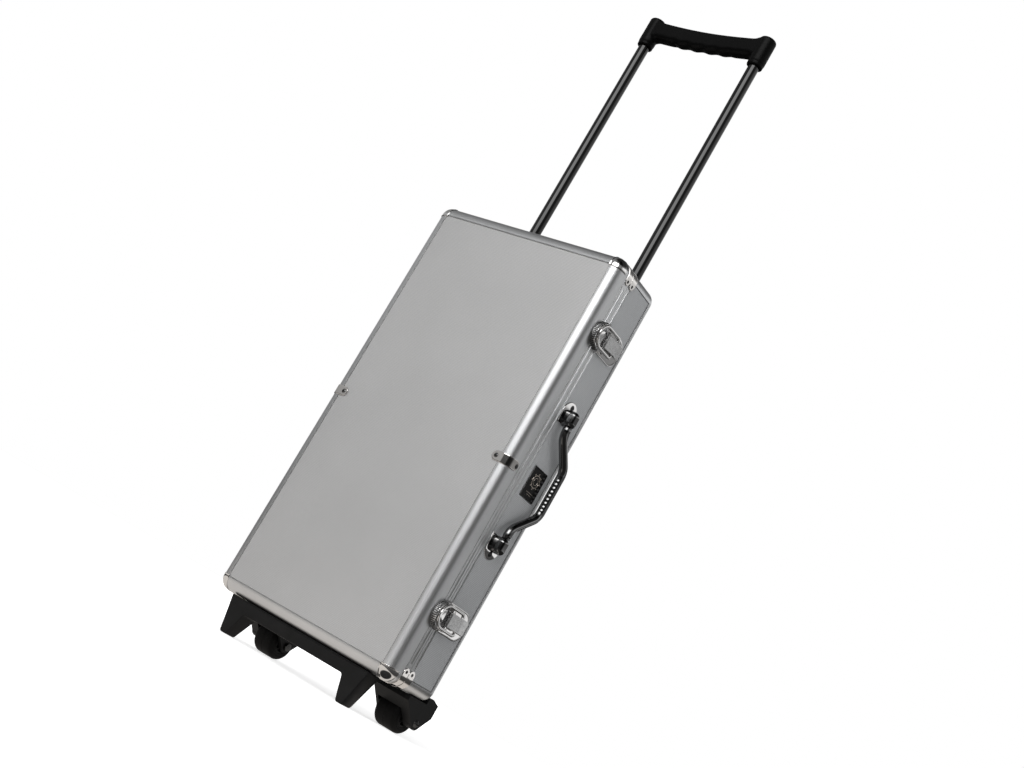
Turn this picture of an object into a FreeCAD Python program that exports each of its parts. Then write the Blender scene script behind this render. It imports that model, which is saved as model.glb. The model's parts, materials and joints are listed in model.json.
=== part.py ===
import FreeCAD
import Part

import math
import os

import Sketcher

# Rolling poker chip case: an aluminium case that stands on its bottom end, with a
# hinged lid in front, a telescopic handle behind and a wheeled carriage below.
# Frame: millimetres, +X towards the latches, +Y towards the back, +Z up. The origin is
# the middle of the flat bottom end of the case.

DIMENSIONS = {
    # case
    "case_width": 301.0,
    "case_depth": 106.0,
    "case_height": 570.0,
    "lid_depth": 34.0,
    "edge_radius": 14.0,
    "board": 4.0,
    "panel_sink": 0.5,
    "field_half_width": 80.0,
    "field_front_y": -3.0,
    "field_back_y": 37.5,
    "groove_width": 1.5,
    "groove_depth": 0.6,
    # edge rails
    "rail_skin": 2.0,
    "lid_leg": 24.0,
    "base_leg": 14.5,
    "flange_reach": 24.0,
    "flange_skin": 1.6,
    # closing rims
    "rim_width": 10.5,
    "rim_gap": 0.15,
    "base_rim_depth": 7.0,
    "ridge_height": 0.8,
    "ridge_width": 2.0,
    "ridge_clear": 30.0,
    # wrapped sheet fittings
    "wrap_skin": 1.0,
    "cap_skin": 0.5,
    "cap_reach": 17.0,
    "strap_width": 13.0,
    "strap_front": 26.5,
    "strap_side": 20.0,
    "clip_reach": 25.0,
    "lid_clip_width": 11.0,
    "base_clip_width": 12.5,
    "strap_screw_radius": 3.2,
    "strap_screw_height": 1.2,
    "strap_front_screw_in": 20.5,
    "strap_side_screw_back": 16.0,
    "rivet_radius": 2.2,
    "rivet_height": 1.0,
    "rivet_from_end": 20.0,
    "lid_rivet_from_parting": 6.0,
    "base_rivet_from_parting": 6.5,
    # latches
    "latch_offset": 190.0,
    "latch_plate_skin": 1.2,
    "latch_plate_width": 37.0,
    "latch_plate_end_y": 36.0,
    "latch_plate_round": 14.0,
    "latch_ear_width": 2.4,
    "latch_ear_gap": 0.3,
    "latch_hinge_y": -8.6,
    "latch_hinge_lift": 4.2,
    "latch_barrel_radius": 2.6,
    "latch_pin_radius": 1.4,
    "lever_width": 18.0,
    "lever_skin": 1.4,
    "lever_end_y": 25.0,
    "lever_tab_lift": 1.5,
    "bail_pivot_y": 10.0,
    "bail_lift": 8.0,
    "bail_wire_radius": 2.0,
    "bail_half_width": 14.0,
    "bail_front_y": -33.5,
    "bail_bend_radius": 5.0,
    "bail_barrel_radius": 3.6,
    "catch_radius": 18.5,
    "catch_skin": 1.0,
    "catch_wall": 1.3,
    "catch_height": 7.0,
    "catch_gap": 0.5,
    "hook_radius": 9.0,
    "hook_height": 4.7,
    "hook_edge": 1.2,
    "running_gap": 0.05,
    # carry handle
    "handle_pivot_y": 3.5,
    "handle_lift": 10.0,
    "handle_bow": 37.0,
    "handle_rod_radius": 5.5,
    "handle_bend_radius": 18.0,
    "handle_bend_end": 24.0,
    "handle_end": 76.0,
    "handle_spigot_radius": 3.0,
    "handle_spigot": 11.0,
    "mount_plate_half": 15.5,
    "mount_plate_skin": 1.6,
    "mount_screw_reach": 8.5,
    "mount_screw_radius": 3.8,
    "mount_screw_height": 1.6,
    "boss_half": 9.0,
    "boss_height": 19.0,
    "boss_length": 19.0,
    "boss_edge": 5.0,
    "mount_gap": 0.4,
    # nameplate
    "nameplate_front_y": -4.0,
    "nameplate_back_y": 29.0,
    "nameplate_below_middle": 22.5,
    "nameplate_above_middle": 18.5,
    "nameplate_skin": 1.6,
    "nameplate_bevel": 1.0,
    # piano hinge
    "hinge_length": 480.0,
    "hinge_stand_off": 3.2,
    "knuckle_radius": 3.0,
    "hinge_pin_radius": 1.25,
    "hinge_leaf_skin": 1.0,
    "hinge_leaf_width": 8.0,
    "knuckle_clear": 0.4,
    "knuckle_gap": 0.1,
    # chip tray
    "tray_front_y": 4.0,
    "trough_radius": 19.7,
    "trough_pitch": 39.8,
    "trough_length": 168.0,
    "trough_step": 178.0,
    "tray_wall": 3.0,
    "pad_inset": 16.0,
    "pad_thickness": 22.0,
    "pad_corner": 6.0,
    # trolley
    "tube_offset": 91.0,
    "tube_y": 67.0,
    "outer_tube_radius": 9.0,
    "outer_tube_bore": 8.2,
    "inner_tube_radius": 7.75,
    "inner_tube_bore": 6.6,
    "inner_tube_foot": 486.0,
    "handle_travel": 360.0,
    "bush_length": 14.0,
    "bush_bore": 3.0,
    "guide_height": 26.0,
    "guide_below_top": 8.0,
    "guide_half": 15.0,
    "guide_reach": 12.0,
    "guide_corner": 6.0,
    "collar_height": 6.0,
    "collar_wall": 2.0,
    "lock_pin_rise": 10.0,
    "lock_pin_radius": 2.4,
    "lock_pin_length": 5.0,
    "button_travel": 2.5,
    "socket_sink": 2.0,
    "pin_hole_gap": 0.3,
    "grip_foot": 933.0,
    "sleeve_radius": 12.0,
    "sleeve_height": 49.0,
    "socket_depth": 20.0,
    "bar_rise": 16.5,
    "bar_height": 25.5,
    "bar_depth": 22.0,
    "bar_sag": 4.5,
    "bar_edge": 7.0,
    "button_half": 14.0,
    "button_half_depth": 5.0,
    "button_edge": 1.5,
    "button_proud": 0.2,
    "button_gap": 0.1,
    "button_slot_rise": 19.0,
    "cross_bar_height": 3.4,
    "cross_bar_half_depth": 2.5,
    "pull_rod_radius": 2.0,
    "spring_radius": 3.4,
    "spring_bore": 2.4,
    # carriage
    "floor_drop": 47.0,
    "foot_front_y": -46.0,
    "foot_depth": 25.0,
    "foot_bar_height": 16.6,
    "foot_flange_skin": 6.0,
    "foot_flange_inset": 6.0,
    "foot_flange_back_y": -4.0,
    "foot_seat_gap": 0.35,
    "foot_outer_slant": 12.0,
    "foot_inner_floor": 23.0,
    "foot_inner_top": 34.0,
    "foot_taper": 7.0,
    "foot_edge": 2.5,
    "foot_screw_radius": 4.0,
    "foot_screw_height": 1.8,
    "foot_screw_y": -10.0,
    "guide_screw_radius": 3.4,
    "guide_screw_height": 1.5,
    "lid_clear": 0.6,
    "foot_bar_half": 121.0,
    "wheel_radius": 21.5,
    "wheel_width": 34.0,
    "wheel_centre": 110.0,
    "axle_y": 53.0,
    "axle_radius": 3.0,
    "tyre_shoulder": 6.0,
    "hub_radius": 12.0,
    "nave_radius": 6.0,
    "nave_reach": 1.5,
    "bolt_head_radius": 5.5,
    "bolt_head_height": 2.6,
    "nut_height": 3.5,
    "cheek_gap": 2.5,
    "outer_cheek": 14.0,
    "inner_cheek": 4.5,
    "housing_front": 37.0,
    "housing_back": 23.0,
    "housing_lip": 6.0,
    "housing_shoulder": 9.0,
    "housing_rise": 8.4,
    "housing_back_rise": 4.4,
    "housing_back_over_axle": 13.0,
    "cheek_lobe": 9.0,
    "cheek_lobe_round": 10.5,
    "cheek_lobe_drop": 3.0,
    "case_gap": 0.2,
    "well_gap": 2.0,
    "well_mouth_front": 30.0,
    "well_mouth_back": 12.0,
    "socket_wall": 2.5,
}

TROUGH_COLUMNS = 7
TROUGH_ROWS = 3
HINGE_KNUCKLES = 12
HANDLE_SLOPE = 50.0
FOOT_SCREWS_X = (35, 95)
GUIDE_SCREWS_BELOW_TOP = (28, 14)


class Size:
    """A length together with the sheet expression that gives it."""

    def __init__(self, value, text):
        self.value = value
        self.text = text

    @staticmethod
    def of(item):
        if isinstance(item, Size):
            return item
        return Size(float(item), repr(float(item)))

    def __add__(self, other):
        other = Size.of(other)
        return Size(self.value + other.value, f"({self.text} + {other.text})")

    def __sub__(self, other):
        other = Size.of(other)
        return Size(self.value - other.value, f"({self.text} - {other.text})")

    def __mul__(self, other):
        other = Size.of(other)
        return Size(self.value * other.value, f"({self.text} * {other.text})")

    def __truediv__(self, other):
        other = Size.of(other)
        return Size(self.value / other.value, f"({self.text} / {other.text})")

    def __neg__(self):
        return Size(-self.value, f"(0 - {self.text})")

    def __radd__(self, other):
        return Size.of(other) + self

    def __rsub__(self, other):
        return Size.of(other) - self

    def __rmul__(self, other):
        return Size.of(other) * self

    def root(self):
        return Size(math.sqrt(self.value), f"sqrt({self.text})")


doc = FreeCAD.newDocument("PokerChipCase")
sheet = doc.addObject("Spreadsheet::Sheet", "dims")
for row, (alias, number) in enumerate(DIMENSIONS.items(), start=1):
    sheet.set(f"A{row}", alias)
    sheet.set(f"B{row}", str(number))
    sheet.setAlias(f"B{row}", alias)
doc.recompute()


def dim(alias):
    return Size(float(sheet.get(alias)), f"dims.{alias}")


# ---------------------------------------------------------------- drawing helpers

X_AXIS = FreeCAD.Vector(1, 0, 0)
Y_AXIS = FreeCAD.Vector(0, 1, 0)
Z_AXIS = FreeCAD.Vector(0, 0, 1)
sub_parts = []


def bind(item, path, size):
    size = Size.of(size)
    item.setExpression(path, size.text)


def move_to(item, x, y, z):
    bind(item, "Placement.Base.x", x)
    bind(item, "Placement.Base.y", y)
    bind(item, "Placement.Base.z", z)
    return item


def box(name, x_range, y_range, z_range):
    item = doc.addObject("Part::Box", name)
    for path, (low, high) in zip(("Length", "Width", "Height"), (x_range, y_range, z_range)):
        bind(item, path, Size.of(high) - Size.of(low))
    return move_to(item, x_range[0], y_range[0], z_range[0])


def rod(name, radius, length, start, along=Z_AXIS):
    item = doc.addObject("Part::Cylinder", name)
    bind(item, "Radius", radius)
    bind(item, "Height", length)
    item.Placement.Rotation = FreeCAD.Rotation(Z_AXIS, along)
    return move_to(item, *start)


def dome(name, radius, height, centre, along):
    """A low rivet or screw head: a ball cut by the plane that it stands on."""
    item = doc.addObject("Part::Sphere", name)
    bind(item, "Radius", radius)
    item.Angle1 = math.degrees(math.asin(1 - Size.of(height).value / Size.of(radius).value))
    item.Placement.Rotation = FreeCAD.Rotation(Z_AXIS, along)
    sink = Size.of(radius) - Size.of(height)
    x, y, z = (Size.of(c) - sink * a for c, a in zip(centre, along))
    return move_to(item, x, y, z)


def fuse(name, items):
    item = doc.addObject("Part::MultiFuse", name)
    item.Shapes = items
    item.Refine = True
    return item


def group(name, items):
    item = doc.addObject("Part::Compound", name)
    item.Links = items
    return item


def cut(name, base, *tools):
    item = doc.addObject("Part::Cut", name)
    item.Base = base
    item.Tool = tools[0] if len(tools) == 1 else group(name + "_tools", list(tools))
    item.Refine = True
    return item


def common(name, base, tool):
    item = doc.addObject("Part::Common", name)
    item.Base = base
    item.Tool = tool
    return item


def mirror(name, item, normal=X_AXIS, base=(0, 0, 0)):
    copy = doc.addObject("Part::Mirroring", name)
    copy.Source = item
    copy.Normal = normal
    for path, size in zip(("Base.x", "Base.y", "Base.z"), base):
        bind(copy, path, size)
    return copy


def round_edges(name, base, radius, chosen):
    """Fillet the edges of base that the test `chosen` accepts."""
    doc.recompute()
    value = Size.of(radius).value
    item = doc.addObject("Part::Fillet", name)
    item.Base = base
    item.Edges = [(i, value, value) for i, e in enumerate(base.Shape.Edges, start=1) if chosen(e)]
    return item


def runs_along(axis):
    def chosen(edge):
        ends = edge.Vertexes
        if len(ends) != 2:
            return False
        line = ends[1].Point - ends[0].Point
        return line.Length > 0 and abs(line.dot(axis)) > 0.999 * line.Length
    return chosen


def keep(label, item):
    item.Label = label
    sub_parts.append(item)
    return item


def origin_plane(body, role):
    return next(f for f in body.Origin.OriginFeatures if f.Role == role)


def outline_sketch(body, name, plane, corners, closed=True):
    """An outline through corners: (x, y) or (x, y, radius of the arc to the next corner,
    +1 for an arc turning left and -1 for one turning right)."""
    sketch = body.newObject("Sketcher::SketchObject", name)
    sketch.AttachmentSupport = [(origin_plane(body, plane), "")]
    sketch.MapMode = "FlatFace"
    points = [FreeCAD.Vector(Size.of(c[0]).value, Size.of(c[1]).value, 0) for c in corners]
    runs = corners if closed else corners[:-1]
    for i, corner in enumerate(runs):
        a, b = points[i], points[(i + 1) % len(points)]
        if len(corner) == 2:
            sketch.addGeometry(Part.LineSegment(a, b))
        else:
            sketch.addGeometry(arc_through(a, b, Size.of(corner[2]).value, corner[3]))
    turns_right = [len(c) == 4 and c[3] < 0 for c in runs]
    for i, corner in enumerate(runs):
        first, last = (2, 1) if turns_right[i] else (1, 2)
        hold(sketch, "DistanceX", i, first, corner[0])
        hold(sketch, "DistanceY", i, first, corner[1])
        if len(corner) == 4:
            radius = Size.of(corner[2])
            number = sketch.addConstraint(Sketcher.Constraint("Radius", i, radius.value))
            sketch.setExpression(f"Constraints[{number}]", radius.text)
        if closed or i + 1 < len(runs):
            after = (i + 1) % len(runs)
            joined = 2 if turns_right[after] else 1
            sketch.addConstraint(Sketcher.Constraint("Coincident", i, last, after, joined))
        else:
            hold(sketch, "DistanceX", i, last, corners[-1][0])
            hold(sketch, "DistanceY", i, last, corners[-1][1])
    return sketch


def arc_through(a, b, radius, turn):
    """The short arc from a to b. Sketch arcs always run anticlockwise."""
    chord = b - a
    middle = (a + b) * 0.5
    normal = FreeCAD.Vector(-chord.y, chord.x, 0).normalize() * turn
    centre = middle + normal * math.sqrt(max(radius**2 - (chord.Length / 2) ** 2, 0.0))
    start, end = (a, b) if turn > 0 else (b, a)
    angles = [math.atan2(p.y - centre.y, p.x - centre.x) for p in (start, end)]
    circle = Part.Circle(centre, Z_AXIS, radius)
    if angles[1] < angles[0]:
        angles[1] += 2 * math.pi
    return Part.ArcOfCircle(circle, *angles)


def hold(sketch, kind, geometry, vertex, place):
    """Fix one coordinate of a sketch point to a sheet expression."""
    place = Size.of(place)
    if abs(place.value) < 1e-9:
        axis = -2 if kind == "DistanceX" else -1
        sketch.addConstraint(Sketcher.Constraint("PointOnObject", geometry, vertex, axis))
        return
    number = sketch.addConstraint(
        Sketcher.Constraint(kind, -1, 1, geometry, vertex, place.value)
    )
    sketch.setExpression(f"Constraints[{number}]", place.text)


def pad_body(name, plane, corners, length, both_ways=False):
    """A PartDesign body: one closed outline, padded."""
    body = doc.addObject("PartDesign::Body", name)
    sketch = outline_sketch(body, name + "_outline", plane, corners)
    pad = body.newObject("PartDesign::Pad", name + "_pad")
    pad.Profile = sketch
    bind(pad, "Length", length)
    if both_ways:
        pad.Midplane = True
    body.Tip = pad
    return body


def swept_rod(name, rod_radius, plane, path, closed, start):
    """A round rod bent along a path; it starts at `start`, running along Z there."""
    body = doc.addObject("PartDesign::Body", name + "_centreline")
    spine = outline_sketch(body, name + "_path", plane, path, closed)
    section = doc.addObject("Part::Circle", name + "_section")
    bind(section, "Radius", rod_radius)
    move_to(section, *start)
    doc.recompute()
    sweep = doc.addObject("Part::Sweep", name)
    sweep.Sections = [section]
    sweep.Spine = (spine, [f"Edge{i + 1}" for i in range(len(spine.Shape.Edges))])
    sweep.Solid = True
    return sweep


# ---------------------------------------------------------------- shared places

half_width = dim("case_width") / 2
front = -(dim("case_depth") / 2)
back = dim("case_depth") / 2
top = dim("case_height")
middle = dim("case_height") / 2
radius = dim("edge_radius")
parting = front + dim("lid_depth")
lid_rim_front = front + dim("lid_leg")
base_rim_back = parting + dim("base_rim_depth")
side_panel = half_width - dim("panel_sink")
panel_back = dim("panel_sink") + dim("board")
floor = -dim("floor_drop")
latch_heights = (middle - dim("latch_offset"), middle + dim("latch_offset"))


# ---------------------------------------------------------------- case shell

def rail_outline(leg):
    """Rounded edge extrusion: x runs in along the face, y runs along the side."""
    skin = dim("rail_skin")
    inner = radius - skin
    flange_back = panel_back + dim("flange_skin")
    drop = radius - flange_back
    meet = radius - (inner * inner - drop * drop).root()
    return [
        (0, radius, radius, 1),
        (radius, 0),
        (radius, panel_back),
        (dim("flange_reach"), panel_back),
        (dim("flange_reach"), flange_back),
        (meet, flange_back, inner, -1),
        (skin, radius),
        (skin, leg),
        (0, leg),
    ]


def rail(name, leg, length, corner, inward, sideways):
    """One edge rail; inward and sideways are the directions of its outline's axes."""
    body = pad_body(name, "XY_Plane", rail_outline(leg), length)
    body.Placement.Rotation = FreeCAD.Rotation(inward, sideways, inward.cross(sideways), "XYZ")
    return move_to(body, *corner)


def edge_rails(half, leg, face, sideways):
    """The four rails round one face: two long ones and two short ones."""
    long_run = top - radius * 2
    short_run = dim("case_width") - radius * 2
    rails = {}
    for side, inward, x in (("right", -X_AXIS, half_width), ("left", X_AXIS, -half_width)):
        upward = inward.cross(sideways).z > 0
        z = radius if upward else top - radius
        rails[side] = rail(f"{half}_{side}_rail", leg, long_run, (x, face, z), inward, sideways)
    for end, inward, z in (("top", -Z_AXIS, top), ("bottom", Z_AXIS, Size.of(0))):
        rightward = inward.cross(sideways).x > 0
        x = radius - half_width if rightward else half_width - radius
        rails[end] = rail(f"{half}_{end}_rail", leg, short_run, (x, face, z), inward, sideways)
    keep(f"{half}_long_rails", group(f"{half}_long_rails", [rails["right"], rails["left"]]))
    # the short rails' flanges stop where they meet the long ones
    short_pair = group(f"{half}_short_pair", [rails["top"], rails["bottom"]])
    long_pair = group(f"{half}_long_pair", [rails["right"], rails["left"]])
    keep(f"{half}_short_rails", cut(f"{half}_short_rails", short_pair, long_pair))


def rounded_case(name, grow):
    """The outer form of the whole case, grown by `grow`, with every edge rounded."""
    block = box(
        name + "_block",
        (-half_width - grow, half_width + grow),
        (front - grow, back + grow),
        (-Size.of(grow), top + grow),
    )
    return round_edges(name, block, radius + grow, lambda edge: True)


def corner_boxes(name, x_reach, y_range, z_reach):
    """Four boxes at the corners of the case, each x_reach by z_reach."""
    boxes = []
    out = dim("edge_radius")
    for side, (x_low, x_high) in enumerate(
        ((half_width - x_reach, half_width + out), (-half_width - out, x_reach - half_width))
    ):
        for end, (z_low, z_high) in enumerate(((-out, z_reach), (top - z_reach, top + out))):
            boxes.append(box(f"{name}_{side}{end}", (x_low, x_high), y_range, (z_low, z_high)))
    return group(name, boxes)


def rim(name, y_range, ridge_y):
    """A closing frame with rounded corners and a raised ridge along its outside."""
    def frame_block(part, inset):
        block = box(
            f"{name}_{part}",
            (inset - half_width, half_width - inset),
            y_range,
            (inset, top - inset),
        )
        rounding = radius - inset
        return round_edges(f"{name}_{part}_rounded", block, rounding, runs_along(Y_AXIS))

    ridge_range = (ridge_y - dim("ridge_width") / 2, ridge_y + dim("ridge_width") / 2)
    out = dim("ridge_height")
    clear = dim("ridge_clear")
    side_ridge = box(
        name + "_side_ridge",
        (half_width - 1, half_width + out),
        ridge_range,
        (clear, top - clear),
    )
    end_ridge = box(
        name + "_end_ridge",
        (clear - half_width, half_width - clear),
        ridge_range,
        (top - 1, top + out),
    )
    outer = fuse(name + "_outer", [frame_block("form", Size.of(0)), side_ridge, end_ridge])
    return keep(name, cut(name, outer, frame_block("opening", dim("rim_width"))))


def panels():
    x_range = (radius - half_width, half_width - radius)
    z_range = (radius, top - radius)
    sink = dim("panel_sink")
    keep("lid_panel", box("lid_panel", x_range, (front + sink, front + panel_back), z_range))
    keep("base_panel", box("base_panel", x_range, (back - panel_back, back - sink), z_range))
    y_range = (base_rim_back, back - dim("base_leg"))
    right = box("right_wall", (half_width - panel_back, side_panel), y_range, z_range)
    keep("base_side_walls", group("base_side_walls", [right, mirror("left_wall", right)]))
    keep("base_bottom_wall", bottom_wall(x_range, y_range))
    keep("base_top_wall", box("top_end_wall", x_range, y_range, (top - panel_back, top - sink)))


def bottom_wall(x_range, y_range):
    """The flush bottom wall, with a pressed groove round the middle field."""
    wall = box("bottom_end_wall", x_range, y_range, (0, dim("board")))
    depth = dim("groove_depth")
    rings = []
    for name, inset in (("groove_outside", Size.of(0)), ("groove_inside", dim("groove_width"))):
        half = dim("field_half_width") - inset
        y_field = (dim("field_front_y") + inset, dim("field_back_y") - inset)
        rings.append(box(name, (-half, half), y_field, (0, depth)))
    groove = cut("bottom_groove", rings[0], rings[1])
    return cut("base_bottom_wall", wall, groove)


def shell_corners():
    """Cast corner pieces that close the rails, each a rounded post with a ball end."""
    outer = rounded_case("case_form", Size.of(0))
    inner = rounded_case("case_inside", -dim("rail_skin"))
    shell = cut("case_shell", outer, inner)
    lid = corner_boxes("lid_corner_boxes", radius, (front - 1, lid_rim_front), radius)
    base = corner_boxes("base_corner_boxes", radius, (base_rim_back, back + 1), radius)
    keep("lid_corners", common("lid_corners", shell, lid))
    keep("base_corners", common("base_corners", shell, base))
    return outer


def wrapped_fittings(case_form):
    """Thin chromed sheet fittings that wrap the outside of the case."""
    cap_form = cut("cap_wrap", rounded_case("cap_form", dim("cap_skin")), case_form)
    reach = dim("cap_reach")
    cap_boxes = corner_boxes("lid_cap_boxes", reach, (front - 2, front + reach), reach)
    keep("lid_corner_caps", common("lid_corner_caps", cap_form, cap_boxes))
    wrap = cut("wrap", rounded_case("wrap_form", dim("wrap_skin")), case_form)
    clip = dim("clip_reach")
    gap = dim("rim_gap")
    lid_clips = corner_boxes(
        "lid_clip_boxes", clip, (parting - dim("lid_clip_width"), parting - gap), clip
    )
    base_clips = corner_boxes(
        "base_clip_boxes", clip, (parting + gap, parting + dim("base_clip_width")), clip
    )
    keep("lid_clips", common("lid_clips", wrap, lid_clips))
    keep("base_clips", common("base_clips", wrap, base_clips))
    strap = box(
        "right_strap_box",
        (half_width - dim("strap_front"), half_width + 2),
        (front - 2, front + dim("strap_side")),
        (middle - dim("strap_width") / 2, middle + dim("strap_width") / 2),
    )
    both = group("strap_boxes", [strap, mirror("left_strap_box", strap)])
    keep("edge_straps", common("edge_straps", wrap, both))


def fastener_heads():
    """Domed screw and rivet heads on the wrapped fittings."""
    skin = dim("wrap_skin")
    side = half_width + skin
    face = front - skin
    radius_height = (dim("strap_screw_radius"), dim("strap_screw_height"))
    front_spot = (half_width - dim("strap_front_screw_in"), face, middle)
    side_spot = (side, front + dim("strap_side_screw_back"), middle)
    strap_screws = [
        dome("strap_front_screw", *radius_height, front_spot, -Y_AXIS),
        dome("strap_side_screw", *radius_height, side_spot, X_AXIS),
    ]
    keep("strap_screws", both_sides("strap_screws", strap_screws))
    lid_rivets = []
    base_rivets = []
    rivet = (dim("rivet_radius"), dim("rivet_height"))
    for end, z in enumerate((dim("rivet_from_end"), top - dim("rivet_from_end"))):
        lid_spot = (side, parting - dim("lid_rivet_from_parting"), z)
        base_spot = (side, parting + dim("base_rivet_from_parting"), z)
        lid_rivets.append(dome(f"lid_clip_rivet_{end}", *rivet, lid_spot, X_AXIS))
        base_rivets.append(dome(f"base_clip_rivet_{end}", *rivet, base_spot, X_AXIS))
    keep("lid_clip_rivets", both_sides("lid_clip_rivets", lid_rivets))
    keep("base_clip_rivets", both_sides("base_clip_rivets", base_rivets))


def both_sides(name, items):
    copies = [mirror(f"{item.Name}_left", item) for item in items]
    return group(name, items + copies)


# ---------------------------------------------------------------- inside the case

def lid_pad():
    inset = dim("pad_inset")
    pad_back = front + panel_back + dim("flange_skin")
    pad = box(
        "lid_pad_block",
        (inset - half_width, half_width - inset),
        (pad_back, pad_back + dim("pad_thickness")),
        (inset, top - inset),
    )
    keep("lid_pad", round_edges("lid_pad", pad, dim("pad_corner"), runs_along(Y_AXIS)))


def chip_tray():
    """Moulded tray: half-round chip rows, with a well in the middle for cards and dice."""
    side = half_width - dim("rim_width") - 0.5
    tray_front = dim("tray_front_y")
    tray_back = back - panel_back - dim("flange_skin")
    z_low = dim("rim_width") + 0.5
    block = box("tray_block", (-side, side), (tray_front, tray_back), (z_low, top - z_low))
    wall = dim("tray_wall")
    floor_y = tray_front + dim("trough_radius") - 2
    hollow = box(
        "tray_hollow",
        (wall - side, side - wall),
        (floor_y, tray_back),
        (z_low + wall, top - z_low - wall),
    )
    well_half = dim("trough_pitch") / 2 - 1
    well_long = dim("trough_length") / 2
    well_block = box(
        "well_block",
        (-well_half - wall, well_half + wall),
        (floor_y, tray_back),
        (middle - well_long - wall, middle + well_long + wall),
    )
    well = box(
        "card_well",
        (-well_half, well_half),
        (tray_front - 1, tray_back - wall),
        (middle - well_long, middle + well_long),
    )
    body = fuse("tray_body", [cut("tray_shell", block, hollow), well_block])
    keep("chip_tray", cut("chip_tray", body, group("tray_rows", trough_tools() + [well])))


def trough_tools():
    axis_y = dim("tray_front_y") - 5
    tools = []
    for row in range(TROUGH_ROWS):
        z = middle + dim("trough_step") * (row - 1) - dim("trough_length") / 2
        for column in range(TROUGH_COLUMNS):
            x = dim("trough_pitch") * (column - (TROUGH_COLUMNS - 1) / 2)
            start = (x, axis_y, z)
            name = f"trough_{row}{column}"
            tools.append(rod(name, dim("trough_radius"), dim("trough_length"), start))
    return tools


# ---------------------------------------------------------------- lid hinge

def piano_hinge():
    """Two leaves on the left side, their knuckles taking turns along one pin."""
    axis_x = -half_width - dim("hinge_stand_off")
    knuckle = dim("hinge_length") / HINGE_KNUCKLES
    z_start = middle - dim("hinge_length") / 2
    bore = rod(
        "hinge_bore",
        dim("hinge_pin_radius") + dim("running_gap"),
        dim("hinge_length"),
        (axis_x, parting, z_start),
    )
    leaf_x = (-half_width - dim("hinge_leaf_skin"), -half_width)
    clear = dim("knuckle_radius") + dim("knuckle_clear")
    gap = dim("knuckle_gap")
    for half, way, first in (("lid", -1, 0), ("base", 1, 1)):
        near = parting + clear * way
        far = near + dim("hinge_leaf_width") * way
        y_range = (far, near) if way < 0 else (near, far)
        pieces = [box(f"{half}_leaf", leaf_x, y_range, (z_start, z_start + dim("hinge_length")))]
        for index in range(first, HINGE_KNUCKLES, 2):
            z = z_start + knuckle * index + gap
            length = knuckle - gap * 2
            name = f"{half}_knuckle_{index}"
            pieces.append(rod(name, dim("knuckle_radius"), length, (axis_x, parting, z)))
            bridge = (parting + clear * way, parting) if way < 0 else (parting, parting + clear)
            pieces.append(box(name + "_bridge", leaf_x, bridge, (z, z + length)))
        keep(f"hinge_{half}_leaf", cut(f"hinge_{half}_leaf", fuse(f"{half}_leaf_all", pieces), bore))
    pin = rod(
        "hinge_pin",
        dim("hinge_pin_radius"),
        dim("hinge_length"),
        (axis_x, parting, z_start),
    )
    keep("hinge_pin", pin)


# ---------------------------------------------------------------- latches

def latch(name, z):
    """Draw latch: plate, hinge pin, lever and wire bail on the base; catch on the lid."""
    skin = dim("latch_plate_skin")
    hinge_x = side_panel + dim("latch_hinge_lift")
    hinge_y = dim("latch_hinge_y")
    lever_half = dim("lever_width") / 2
    plate_half = dim("latch_plate_width") / 2
    sheet_box = box(
        f"{name}_plate_box",
        (side_panel, side_panel + skin),
        (base_rim_back + dim("catch_gap"), dim("latch_plate_end_y")),
        (z - plate_half, z + plate_half),
    )
    plate = round_edges(
        f"{name}_plate_sheet", sheet_box, dim("latch_plate_round"), back_corner_edges
    )
    ears = []
    ear = dim("latch_ear_width")
    pin_half = lever_half + dim("latch_ear_gap") + ear
    for side, ear_z in (("upper", z + pin_half - ear), ("lower", z - pin_half)):
        ear_y = (hinge_y - dim("latch_barrel_radius"), hinge_y + dim("latch_barrel_radius"))
        ear_zs = (ear_z, ear_z + ear)
        ears.append(box(f"{name}_{side}_ear", (side_panel, hinge_x), ear_y, ear_zs))
        barrel = rod(
            f"{name}_{side}_ear_barrel",
            dim("latch_barrel_radius"),
            ear,
            (hinge_x, hinge_y, ear_z),
        )
        ears.append(barrel)
    pin_start = (hinge_x, hinge_y, z - pin_half)
    pin_hole = rod(f"{name}_pin_hole", dim("latch_pin_radius"), pin_half * 2, pin_start)
    body = fuse(f"{name}_plate_all", [plate] + ears)
    keep(f"{name}_plate", cut(f"{name}_plate", body, pin_hole))
    pin = rod(f"{name}_pin", dim("latch_pin_radius"), pin_half * 2, pin_start)
    latch_lever(name, z, hinge_x, hinge_y, lever_half)
    latch_bail(name, z)
    return pin


def back_corner_edges(edge):
    """The edges through a latch plate at its corners furthest from the lid."""
    return runs_along(X_AXIS)(edge) and edge.Vertexes[0].Point.y > 0


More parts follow.
